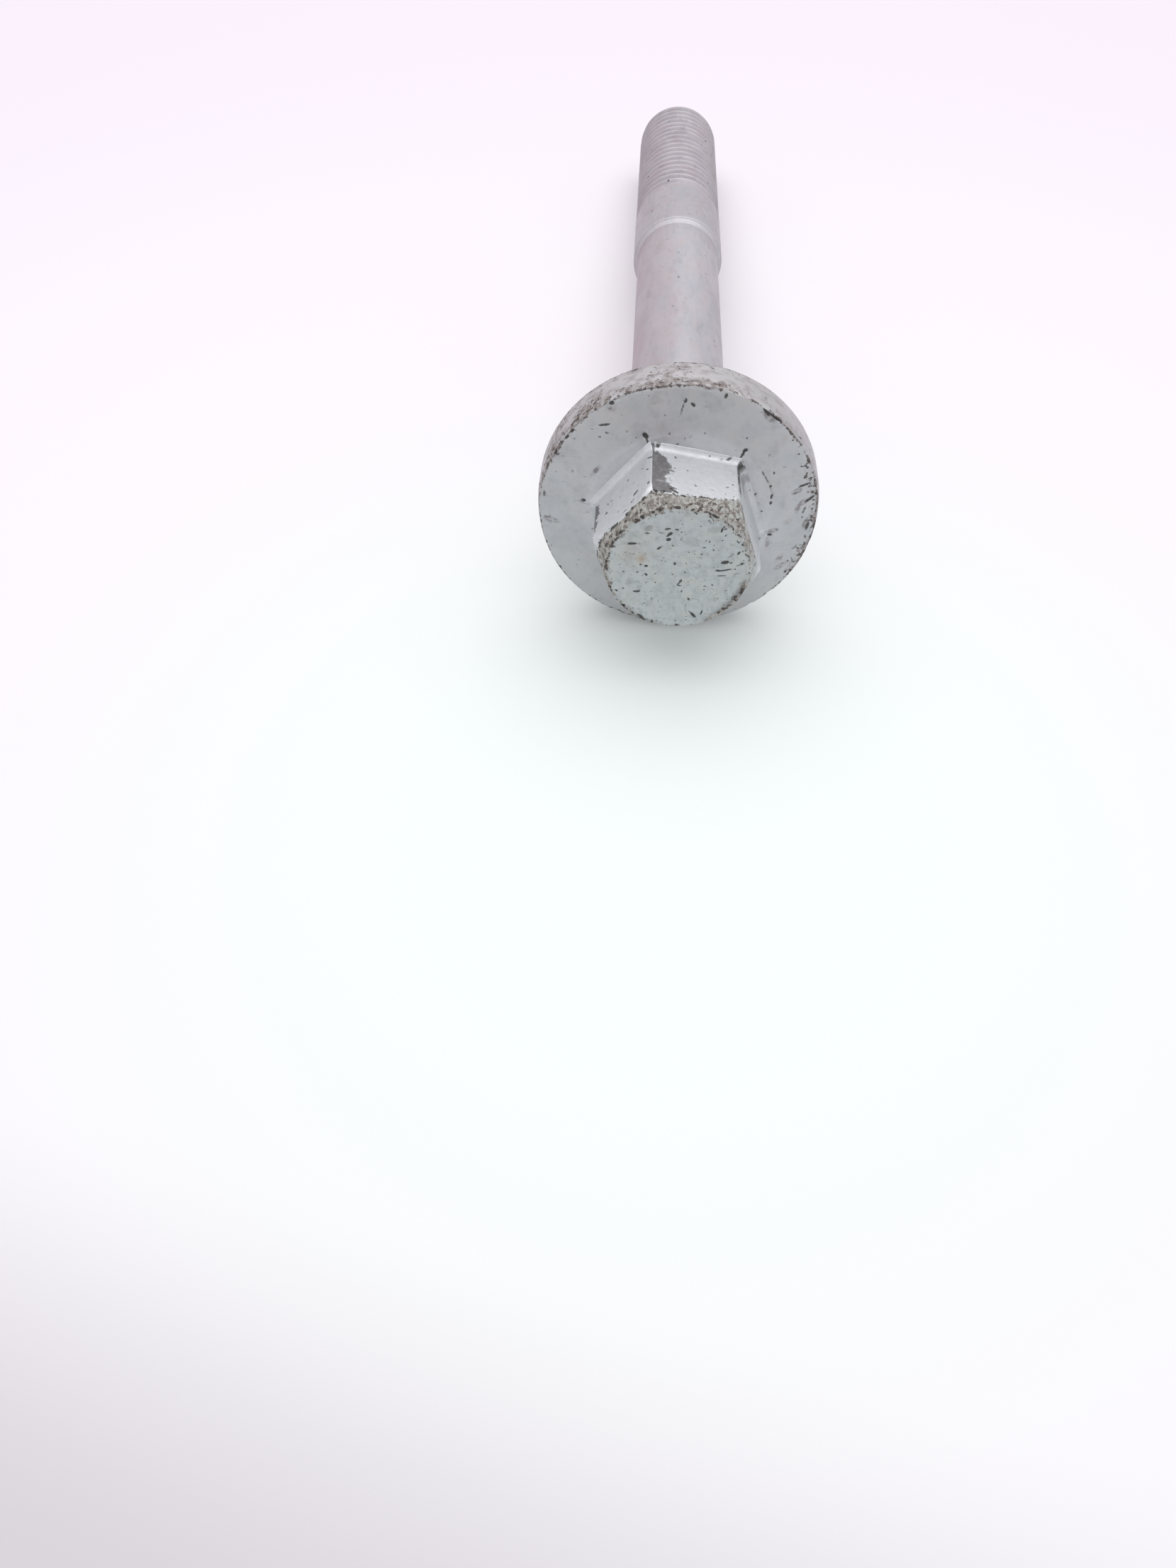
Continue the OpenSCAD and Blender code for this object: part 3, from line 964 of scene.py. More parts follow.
# Soft smears on the collar's front, as (x, z).
COLLAR_SMEARS: Marks = (
    Mark(11.7, 3.3, 1.1, 0.6, 20, 0.0, 0.7),
    Mark(12.5, 2.0, 1.2, 0.55, 30, 0.0, 0.6),
    Mark(12.0, 1.3, 1.1, 0.5, 80, 0.0, 0.5),
    Mark(9.7, -1.2, 1.2, 0.5, 12, 0.0, 0.95),
    Mark(9.4, -2.6, 1.4, 0.5, 90, 0.0, 0.4),
    Mark(11.2, -0.2, 0.9, 0.6, 30, 0.0, 0.3),
    Mark(13.1, -0.5, 1.2, 0.6, 75, 0.0, 0.7),
    Mark(10.9, -4.8, 1.3, 0.7, 60, 0.0, 0.4),
    Mark(11.1, -5.9, 1.6, 0.6, 35, 0.0, 0.55),
    Mark(-8.4, 5.1, 1.5, 0.45, 52, 0.0, 0.6),
    Mark(-9.1, 0.5, 0.6, 0.4, 40, 0.0, 0.55),
    Mark(-7.0, 11.7, 1.0, 0.7, 20, 0.0, 0.45),
    Mark(8.1, 11.2, 1.6, 0.8, -45, 0.0, 0.6),
    Mark(-12.9, -1.1, 1.6, 0.6, -10, 0.0, 0.45),
)


@dataclass
class DrivingHead:
    """The hex head and the collar under it, one forging with a torn crown and a rim marked by wear.

    Sizes are in mm. Angles are in degrees from +X towards +Z.
    """

    face_y: float
    foot_y: float
    collar_r: float
    shank_r: float
    shank_y: float
    across_flats: float = 14.75
    first_corner: float = 50.0
    corner_power: float = 90.0
    crown_power: float = 110.0
    crowding: float = 0.5
    face_r: float = 7.005
    crown_h: float = 2.6
    bevel_h: float = 1.4
    bevel_draw: float = 0.27
    torn_h: float = 1.55
    foot_fillet: float = 0.7
    face_edge: float = 0.25
    buried: float = 0.25
    seat_r: float = 9.27
    cone_r: float = 14.13
    cone_y: float = -4.13
    barrel_y: float = -2.1
    rim_edge: float = 0.3
    crown_dirt_at: float = 125.0
    rim_dirt_at: float = 140.0
    scored_at: float = 28.0
    shaded_at: float = 92.0
    hex_around: int = 480
    collar_around: int = 640

    def corners(self) -> Array:
        """The six corners' angles, in radians."""
        return np.radians(self.first_corner + 60.0 * np.arange(6))

    def section(self, angle: Array, apothem: Array) -> Array:
        """The hexagon's radius at an angle, with rounded corners.

        The radius is apothem / (sum over the six flats of max(0, cos(angle - flat))^p)^(1/p). A
        higher power p gives sharper corners.

        Args:
            angle: Angles round the axis, in radians.
            apothem: Half the width across flats, at each point.

        Returns:
            The radius at each point.
        """
        flats = self.corners() + math.pi / 6.0
        facing = np.maximum(np.cos(angle[..., None] - flats), 0.0)
        total = np.sum(facing**self.corner_power, axis=-1)
        return apothem * total ** (-1.0 / self.corner_power)

    def wall(self, angle: Array, y: Array) -> Array:
        """The radius of the head's side: the hexagon, drawn in over the bevel, and the crown cone.

        The two are joined by (hexagon^-q + cone^-q)^(-1/q), which rounds the edge where they meet.

        Args:
            angle: Angles round the axis, in radians.
            y: Heights along the axis, in mm.

        Returns:
            The radius at each point, in mm.
        """
        rise = unit((self.face_y + self.bevel_h - y) / self.bevel_h)
        apothem = 0.5 * self.across_flats - self.bevel_draw * rise**1.3
        corner_r = 0.5 * self.across_flats / math.cos(math.pi / 6.0)
        cone = self.face_r + (y - self.face_y) * (corner_r - self.face_r) / self.crown_h
        power = self.crown_power
        return (self.section(angle, apothem) ** -power + cone**-power) ** (-1.0 / power)

    def hex_skin(self) -> Skin:
        """The hex head's grid, from inside the collar up the side to the end face's centre.

        A ring's angles crowd towards the corners: angle = u - k sin(6 (u - corner)) / 6. The rows
        climb a quarter-round foot, the side, a quarter-round edge, and then close on the axis.

        Returns:
            The skin, with its wear and its painted light and shade.
        """
        u = np.arange(self.hex_around) * TURN / self.hex_around
        corner = math.radians(self.first_corner)
        angle = u - self.crowding * np.sin(6.0 * (u - corner)) / 6.0
        top = self.face_y + self.face_edge
        foot_top = self.foot_y - self.foot_fillet
        turn = np.linspace(0.0, math.pi / 2.0, 8)[:, None]

        foot_r = self.wall(angle, np.full(angle.shape, foot_top))
        foot_r = foot_r + self.foot_fillet * (1.0 - np.sin(turn))
        foot_y = self.foot_y - self.foot_fillet * (1.0 - np.cos(turn)) + 0.0 * foot_r
        torn_y = self.face_y + 2.2
        plain, torn = np.arange(foot_top, torn_y, -0.11)[1:], np.arange(torn_y, top, -0.065)
        side = np.concatenate((plain, torn))
        side_y = side[:, None] + 0.0 * angle
        side_r = self.wall(angle + 0.0 * side_y, side_y)
        edge_r = self.wall(angle, np.full(angle.shape, top)) - self.face_edge * (1.0 - np.cos(turn))
        edge_y = top - self.face_edge * np.sin(turn) + 0.0 * edge_r
        face_r = edge_r[-1] * np.linspace(1.0, 0.0, 70, endpoint=False)[1:, None]
        face_y = np.full(face_r.shape, self.face_y)

        radius = np.concatenate((foot_r[:1], foot_r, side_r, edge_r, face_r))
        y = np.concatenate((foot_y[:1] + self.buried, foot_y, side_y, edge_y, face_y))
        rings = np.stack((radius * np.cos(angle), y, radius * np.sin(angle)), -1)
        skin = Skin(rings, self.foot_y + self.buried, self.face_y)
        self._wear_hex(skin, angle + 0.0 * radius, radius, y)
        return skin

    def _wear_hex(self, skin: Skin, angle: Array, radius: Array, y: Array) -> None:
        """Presses, tears and stains the hex head, and paints sheen, highlights and shade on its
        flats.

        The crown between the flats and the end face is a torn band, dirtiest on the upper left.
        Its border on the flats and the end face's edge are lined with black specks.

        Args:
            skin: The grid, which is changed.
            angle: Each point's angle, in radians.
            radius: Each point's radius, in mm.
            y: Each point's height along the axis, in mm.
        """
        points = skin.rings
        x, z = points[..., 0], points[..., 2]
        turned = (np.degrees(angle) + 180.0) % 360.0 - 180.0
        on_face = ease(-y, -self.face_y - 0.16, -self.face_y - 0.02)
        on_side = 1.0 - on_face
        soft = fractal(points, 2.4, 11)
        ragged = fractal(points, 0.45, 23)
        fine = fractal(points, 0.22, 31, 2)
        upper = 0.62 + 0.38 * np.cos(angle - math.radians(self.crown_dirt_at))

        climb = sum(height * bell(turned, at, width) for height, at, width in CROWN_CLIMBS)
        border = self.face_y + self.torn_h + climb + 0.35 * soft + 0.2 * ragged
        band = ease(border - y, -0.12, 0.25)
        inside = self.face_r - radius + 0.55 * soft + 0.5 * ragged
        torn = np.where(on_face > 0.5, 1.0 - ease(inside, -0.1, 0.85), band)

        pits = scattered(150, (6.8, 6.8), 7, (0.1, 0.34))
        pressed, soot = press(FACE_MARKS + pits, x, z, ragged)
        _, smeared = press(FACE_SMEARS, x, z, 1.6 * ragged + fine)
        ring_x, ring_z, half_wide, half_high = RING_SCRATCH
        loop = np.hypot((x - ring_x) / half_wide, (z - ring_z) / half_high)
        soot = np.maximum(soot, bell(loop, 1.0, 0.09) * (0.42 + 0.35 * soft)) * on_face

        lower_right = ease(turned, -68.0, -54.0) * (1.0 - ease(turned, -14.0, -3.0))
        bottom = 1.0 - ease(turned, -66.0, -56.0)
        smear = 1.1 * lower_right * bell(radius, 6.75, 0.42) * (0.7 + 0.4 * soft)
        streak = bell(radius, 6.9, 0.22) * ease(ragged + 0.6 * soft, 0.0, 0.5)
        smear = np.maximum(smear, 0.8 * bottom * streak)
        smear = smear * ease(self.face_y - y, -1.0, -0.6)
        rub_and_shade, dark, sheen_and_polish, worn_depth = self._wear_flats(angle, radius, y, fine, ragged, soft)

        skin.sink(
            pressed * on_face
            + 0.05 * torn * (0.6 + fine) * (0.4 + 0.6 * on_side)
            + 0.10 * torn * np.maximum(ragged - 0.15, 0.0)
            + 0.012 * (1.0 + soft)
            + worn_depth * on_side
        )
        outline = bell(y, border - 0.08, 0.27) * on_side
        face_line = bell(radius, self.face_r - 0.08, 0.3) * on_face
        clean = 1.0 - band
        broken_line = 0.85 * outline * upper * ease(fine + 0.4 * ragged, -0.12, 0.22)
        dark = np.maximum(soot, dark * on_side * clean)
        skin.wear[Wear.DARK] = unit(np.maximum(dark, broken_line))
        crusted = torn * (0.95 + 0.3 * soft) * (0.3 + 0.75 * upper)
        skin.wear[Wear.GRIME] = unit(crusted + 0.6 * smear)
        skin.wear[Wear.SPECKS] = unit(
            np.maximum(1.15 * outline, torn * (0.8 + 0.6 * soft)) * upper**1.2
            + 0.2 * face_line * upper**2
            + 0.75 * smear
            + on_face * (0.2 + 0.24 * ease(soft + 0.5 * ragged, 0.0, 0.7))
        )
        skin.wear[Wear.SHEEN_AND_POLISH] = unit(sheen_and_polish) * on_side * clean
        smeared = np.maximum(smear, smeared * on_face)
        skin.wear[Wear.SCUFF_AND_SHADE] = unit(np.maximum(rub_and_shade * on_side * clean, smeared))
        spot, wash = (
            strength * bell(np.hypot(x - u, z - v), 0.0, reach)
            for u, v, reach, strength in (TAN_SPOT, TAN_WASH)
        )
        skin.wear[Wear.STAIN] = unit(spot + wash * (1.0 + soft)) * on_face

    def _wear_flats(
        self, angle: Array, radius: Array, y: Array, fine: Array, ragged: Array, soft: Array
    ) -> tuple[Array, Array, Array, Array]:
        """Spanner wear, painted light and painted shade on the six flats.

        Spanner jaws wore each flat in from its higher-angled corner. Each flat has marks and a
        painted sheen of its own, painted highlights along its edges and foot, and painted shade
        along its foot and in its corner crease.

        Args:
            angle: Each point's angle, in radians.
            radius: Each point's radius, in mm.
            y: Each point's height along the axis, in mm.
            fine: The finest noise.
            ragged: Fine noise.
            soft: Broad noise.

        Returns:
            The shares of rub and painted shade, of soot and painted shade, and of sheen and polish,
            and the depth in mm.
        """
        half = 0.5 * self.across_flats * math.tan(math.pi / 6.0)
        drop = self.foot_y - y
        mid_drop = 0.5 * (self.foot_y - self.face_y)
        which = np.floor((angle - self.corners()[0]) / (math.pi / 3.0)).astype(int) % 6
        rub_and_shade, dark, sheen_and_polish, depth = np.zeros((4, *angle.shape))
        for index, corner in enumerate(self.corners()):
            along = radius * np.sin(corner + math.pi / 6.0 - angle)
            reach = np.interp(drop, *np.transpose(FLAT_RUBS[index]), right=0.0)
            border = along + half - reach + 0.45 * ragged + 0.4 * fine + 0.15 * soft
            rub = 1.0 - ease(border, -0.12, 0.14)
            streak = lattice_noise(np.stack((along, 0.15 * drop, 0.0 * drop), -1), 0.3, 131 + index)
            open_lines = 0.25 * bell(drop, 5.45, 0.22) * ease(streak, 0.05, 0.35)
            rub = rub * ease(reach, 0.0, 0.25) * (1.0 - open_lines)
            _, smear = press(FLAT_SMEARS[index], along, drop, 1.5 * ragged + fine)
            small = scattered(34, (half, 3.4), 211 + index, (0.1, 0.3))
            cut, soot = press(FLAT_MARKS[index], along, drop, ragged)
            small_cut, small_soot = press(small, along, drop - mid_drop, ragged)
            # Painted highlights along the flat's corners and foot and by its lower-angled corner,
            # over a painted sheen that is partly cleaner plate.
            edge_light = 0.6 * bell(half - np.abs(along), 0.1, 0.16)
            edge_light = edge_light + 0.5 * bell(half - along, 0.3, 0.14)
            foot_light = 0.1 * bell(drop, 0.2, 0.3)
            # Painted shade along the flat's foot, which darkens the lit fillet there.
            foot_shade = FOOT_SHADE[index] * bell(drop, 0.3, 0.4)
            side_light = SIDE_LIGHT[index] * ease(along, half - 1.3, half - 0.6)
            light = largest(edge_light, foot_light, side_light, FLAT_SHEEN[index])
            # Painted shade in the crease by the flat's higher-angled corner; the mesh has no dent
            # there.
            crease = bell(along + half + 0.3 * ragged, 0.5, 0.55) * (1.0 - ease(drop, 4.4, 5.4))
            here = which == index
            rub_and_shade = np.where(here, largest(rub, smear, foot_shade), rub_and_shade)
            worst = largest(soot, 0.6 * small_soot, CORNER_CREASE_SHADE[index] * crease)
            dark = np.where(here, worst, dark)
            sheen_and_polish = np.where(here, light * (1.0 - rub) * (1.0 + 0.3 * soft), sheen_and_polish)
            depth = np.where(here, largest(0.04 * rub, cut, small_cut), depth)
        return rub_and_shade, dark, sheen_and_polish, depth

    def collar_skin(self) -> Skin:
        """The collar's turned grid: front cone, barrel rim, bearing face and the fillet under it.

        The barrel's radius is cone + (collar - cone) (1 - (1 - t)^2), and its y runs evenly with t.

        Returns:
            The skin, with its wear and its painted light and shade.
        """
        rise = np.linspace(0.0, 1.0, 22)[:, None]
        barrel = np.concatenate((
            self.cone_r + (self.collar_r - self.cone_r) * (1.0 - (1.0 - rise) ** 2),
            self.cone_y + 0.03 + (self.barrel_y - self.cone_y) * rise,
        ), axis=1)
        neck = self.shank_y
        seat_end = self.collar_r - self.rim_edge
        brink = (self.cone_r - 0.35, self.cone_y - 0.06)
        profile = chain(
            straight((6.6, self.foot_y), (self.seat_r, self.foot_y), 0.2),
            straight((self.seat_r, self.foot_y), brink, 0.1),
            straight(brink, (self.cone_r - 0.05, self.cone_y + 0.03), 0.06),
            barrel,
            straight((self.collar_r, self.barrel_y + 0.05), (self.collar_r, -self.rim_edge), 0.11),
            round_turn((seat_end, -self.rim_edge), self.rim_edge, 0.0, 90.0, 6),
            straight((seat_end, 0.0), (self.shank_r + neck, 0.0), 0.4),
            round_turn((self.shank_r + neck, neck), neck, 270.0, 180.0, 8),
            straight((self.shank_r, neck), (self.shank_r - 0.15, neck + 0.05), 0.1),
        )
        skin = Skin(lathe(profile, self.collar_around), self.foot_y, neck + 0.05)
        self._wear_collar(skin, profile)
        return skin

    def _wear_collar(self, skin: Skin, profile: Array) -> None:
        """Chips the rim's front edge, marks the front and the bearing face where tools touched, and
        paints light and shade on the front and the rim.

        Args:
            skin: The grid, which is changed.
            profile: The profile it was turned from.
        """
        points = skin.rings
        x, y, z = points[..., 0], points[..., 1], points[..., 2]
        radius = np.hypot(x, z)
        angle = np.arctan2(z, x)
        run = np.concatenate(((0.0,), np.cumsum(np.hypot(*np.diff(profile, axis=0).T))))
        to_edge = np.hypot(profile[:, 0] - self.cone_r, profile[:, 1] - self.cone_y)
        edge_row = int(np.argmin(to_edge))
        past = (run - run[edge_row])[:, None] + 0.0 * radius
        front = (past < 0.0) * 1.0
        soft = fractal(points, 3.0, 41)
        ragged = fractal(points, 0.7, 53)
        fine = fractal(points, 0.32, 67, 2)

        outer = tuple(
            Mark(9.7 * math.cos(a), 9.7 * math.sin(a), 0.5, 0.34, math.degrees(a), 0.14, 0.8)
            for a in self.corners()[2:]
        )
        pits = scattered(210, (self.cone_r, self.cone_r), 19, (0.12, 0.42))
        pressed, soot = press(COLLAR_MARKS + outer, x, z, 1.3 * ragged + 0.9 * fine)
        small, small_soot = press(pits, x, z, ragged)
        _, smeared = press(COLLAR_SMEARS, x, z, 1.8 * ragged + 1.4 * fine)
        smeared = 1.7 * smeared * (0.25 + ease(fine + 0.5 * ragged, -0.15, 0.25))

        socket = bell(radius - 0.1 * soft, 9.75, 0.13) * front
        socket_light = 0.15 + 1.1 * bell(angle, math.radians(self.scored_at), 0.4)
        scored = unit(socket * socket_light * (0.3 + 1.2 * ragged))
        edge = bell(past + 0.22 * soft + 0.14 * ragged, 0.0, 0.22)
        chipped = ease(ragged + 0.35 * soft, 0.1, 0.55)
        behind = ease(past, -0.1, 0.1) * (1.0 - ease(past + 0.8 * soft + 0.5 * ragged, 0.4, 1.5))
        skin.sink(
            np.maximum(pressed, small) * front
            + 0.018 * (1.0 + soft)
            + 0.14 * edge * chipped
            + 0.06 * behind * np.maximum(fine, 0.0)
            + 0.03 * scored
            + 0.004 * fine
        )
        bearing = ease(y, -0.05, -0.005) * ease(radius, self.shank_r + 0.9, self.shank_r + 1.6)
        rings = lattice_noise(np.stack((radius, 0.0 * radius, 0.3 * soft), -1), 0.5, 59)
        barrel = ease(past, 0.1, 0.6) * (1.0 - ease(y, -0.3, -0.1))
        hollow = bell(radius, self.shank_r + 0.6, 0.7) * ease(y, -0.05, 0.05)
        # A dark line along the rim's rear edge: painted shade, with some specks of dirt on it.
        rear = bell(y + 0.08 * ragged, -0.26, 0.18) * (radius > self.shank_r + 4.0)
        # Where a painted highlight round the hex's foot hides the shade that falls there.
        foot = bell(radius, 8.7, 0.75) * front
        upper = 0.6 + 0.45 * np.cos(angle - math.radians(self.rim_dirt_at))
        streaks = ease(fractal(points * (1.0, 1.6, 1.0), 0.85, 61), 0.0, 0.4) * barrel
        side = ease(np.abs(x), 8.5, 12.5) * (0.65 + 0.35 * np.sign(x))
        flank = side * front * bell(past + 0.9 * ragged, -0.4, 0.8)
        # Painted shade over the top of the collar's front, darker than its sides.
        shade = bell(angle, math.radians(self.shaded_at), 0.75) * ease(radius, 9.4, 10.4)
        sooty = np.maximum(front * np.maximum(soot, 0.65 * small_soot), 0.8 * scored)
        skin.wear[Wear.DARK] = unit(sooty + 0.5 * rear * ease(soft, -0.3, 0.3))
        skin.wear[Wear.GRIME] = unit(
            edge * (0.6 + 0.5 * soft) + behind * (0.45 + 0.4 * soft) + 0.3 * hollow
            + barrel * (0.52 + 0.4 * soft) * upper + 0.65 * flank * (1.0 + soft)
        )
        skin.wear[Wear.SPECKS] = unit(
            edge * (0.85 + 0.45 * soft) + (0.34 * behind + 0.5 * barrel * (1.0 + soft)) * upper
            + 0.4 * rear + 0.3 * hollow + 0.8 * flank * (1.0 + soft) + 0.14 * front
        )
        skin.wear[Wear.SCUFF_AND_SHADE] = unit(
            smeared * front + 0.85 * streaks * upper + 0.16 * shade * front + 0.5 * rear
            + 0.2 * front * ease(soft + 0.6 * ragged, 0.15, 0.7)
            + 0.2 * bearing * ease(rings, -0.1, 0.9)
        )
        # Painted light: the highlight round the hex's foot and the front made lighter towards +X;
        # also lighter patches on the rim and turned rings on the bearing face.
        skin.wear[Wear.SHEEN_AND_POLISH] = unit(
            0.4 * foot + 0.1 * barrel * (1.0 + soft) + 0.12 * bearing * ease(-rings, 0.1, 0.9)
            + 0.12 * front * ease(x, 6.0, 10.0)
        )
        skin.wear[Wear.STAIN] = unit(0.14 * ease(soft, 0.1, 0.7) + 0.45 * barrel)

    def build(self, effects: ZincEffects) -> None:
        """Makes and dresses the hex head and the collar.

        Args:
            effects: The shared node groups.
        """
        hex_mesh = self.hex_skin().to_mesh("driving_hex")
        finish_piece(hex_mesh, "hex_head", HEAD_FINISH.build(effects))
        collar_mesh = self.collar_skin().to_mesh("collar")
        finish_piece(collar_mesh, "flange", COLLAR_FINISH.build(effects))


# ---------------------------------------------------------------- the shank and its guide band


@dataclass
class Shank:
    """The plain shank, rolled to the thread's pitch diameter, and the full-size guide band on it.

    Sizes are in mm.
    """

    shank_r: float
    shank_start: float
    band_r: float
    band_start: float
    band_end: float
    band_edge: float = 0.35
    buried: float = 0.2
    around: int = 256

    def shank_skin(self) -> Skin:
        """The shank's grid: a turned cylinder, a little wavy where the blank was drawn.

        Returns:
            The skin, with its wear and its painted light and shade.
        """
        start, end = self.shank_start - self.buried, self.band_start + self.buried
        profile = straight((self.shank_r, start), (self.shank_r, end), 0.17)
        skin = Skin(lathe(profile, self.around), start, end)
        points = skin.rings
        drawn = points * (1.0, 0.4, 1.0)
        soft, ragged = fractal(drawn, 2.2, 71), fractal(drawn, 0.6, 83)
        side = ease(-points[..., 0], -1.0, self.shank_r)
        near = 1.0 - ease(points[..., 1], 4.0, 16.0)
        smudge = ease(fractal(points, 1.3, 89), 0.42, 0.7)
        skin.sink(0.012 * (1.0 + soft) + 0.012 * np.maximum(ragged, 0.0) + 0.02 * smudge)
        # Painted shade: the shank made darker towards its sides.
        flank = ease(np.abs(points[..., 0]), 0.55 * self.shank_r, self.shank_r)
        skin.wear[Wear.SCUFF_AND_SHADE] = unit(
            0.14 * flank + 0.3 * ease(soft + 0.5 * ragged, 0.3, 0.9) + 0.4 * smudge
        )
        # Darker and pinker towards -X.
        skin.wear[Wear.STAIN] = unit(0.75 * side * (1.0 + soft) + 0.15 * ease(-soft, 0.1, 0.7))
        skin.wear[Wear.SPECKS] = unit(0.1 + 0.42 * near * (1.0 + soft))
        # A painted highlight along the shank near x = 0, down its middle as seen from above, and
        # lighter patches at random.
        lit = bell(points[..., 0] + 0.5 * soft, 0.6, 1.7)
        skin.wear[Wear.SHEEN_AND_POLISH] = unit(0.14 * lit + 0.1 * ease(-soft - 0.4 * ragged, 0.0, 0.7))
        return skin

    def band_skin(self) -> Skin:
        """The guide band's grid: a 45-degree step up from the shank, rounded, then a plain land.

        Returns:
            The skin, with its wear and a painted highlight.
        """
        step, edge = self.band_r - self.shank_r, self.band_edge
        start, end = self.band_start, self.band_end + self.buried
        top, land_end = start + step, end - self.buried
        brow = (self.band_r - 0.3 * edge, top - 0.3 * edge)
        profile = chain(
            straight((self.shank_r - 0.05, start - 0.05), brow, 0.06),
            round_turn((self.band_r - edge, top + 0.4 * edge), edge, -45.0, 0.0, 6),
            straight((self.band_r, top + 0.45 * edge), (self.band_r, land_end), 0.15),
            straight((self.band_r, land_end), (self.shank_r - 0.6, end), 0.1),
        )
        skin = Skin(lathe(profile, self.around), start - 0.05, end)
        points = skin.rings
        soft, ragged = fractal(points, 2.2, 91), fractal(points, 0.6, 97)
        skin.sink(0.008 * (1.0 + soft) + 0.01 * np.maximum(ragged, 0.0))
        # A painted highlight round the band's step.
        ring = bell(points[..., 1], start + 0.55 * step, 0.5)
        side = ease(-points[..., 0], -1.0, self.shank_r)
        skin.wear[Wear.SHEEN_AND_POLISH] = unit(0.3 * ring)
        scuffed = unit(0.14 + 0.35 * ease(soft + 0.6 * ragged, 0.35, 0.9))
        skin.wear[Wear.SCUFF_AND_SHADE] = scuffed * (1.0 - ring)
        # Darker and pinker towards -X.
        skin.wear[Wear.STAIN] = unit(0.3 * side + 0.15 * ease(-soft, 0.1, 0.7))
        skin.wear[Wear.SPECKS] = np.full(ring.shape, 0.1)
        return skin

    def build(self, material: bpy.types.Material) -> None:
        """Makes and dresses the shank and the guide band.

        Args:
            material: The material that both wear.
        """
        shank, band = self.shank_skin(), self.band_skin()
        finish_piece(shank.to_mesh("plain_shank"), "shank", material)
        finish_piece(band.to_mesh("pilot_band"), "guide_band", material)


# ---------------------------------------------------------------- the threaded end

# The rows over one pitch, closer together where the thread's form bends.
THREAD_PHASES = (
    0.0, 0.04, 0.09, 0.13, 0.25, 0.38, 0.43, 0.5, 0.57, 0.62, 0.75, 0.87, 0.91, 0.96,
)


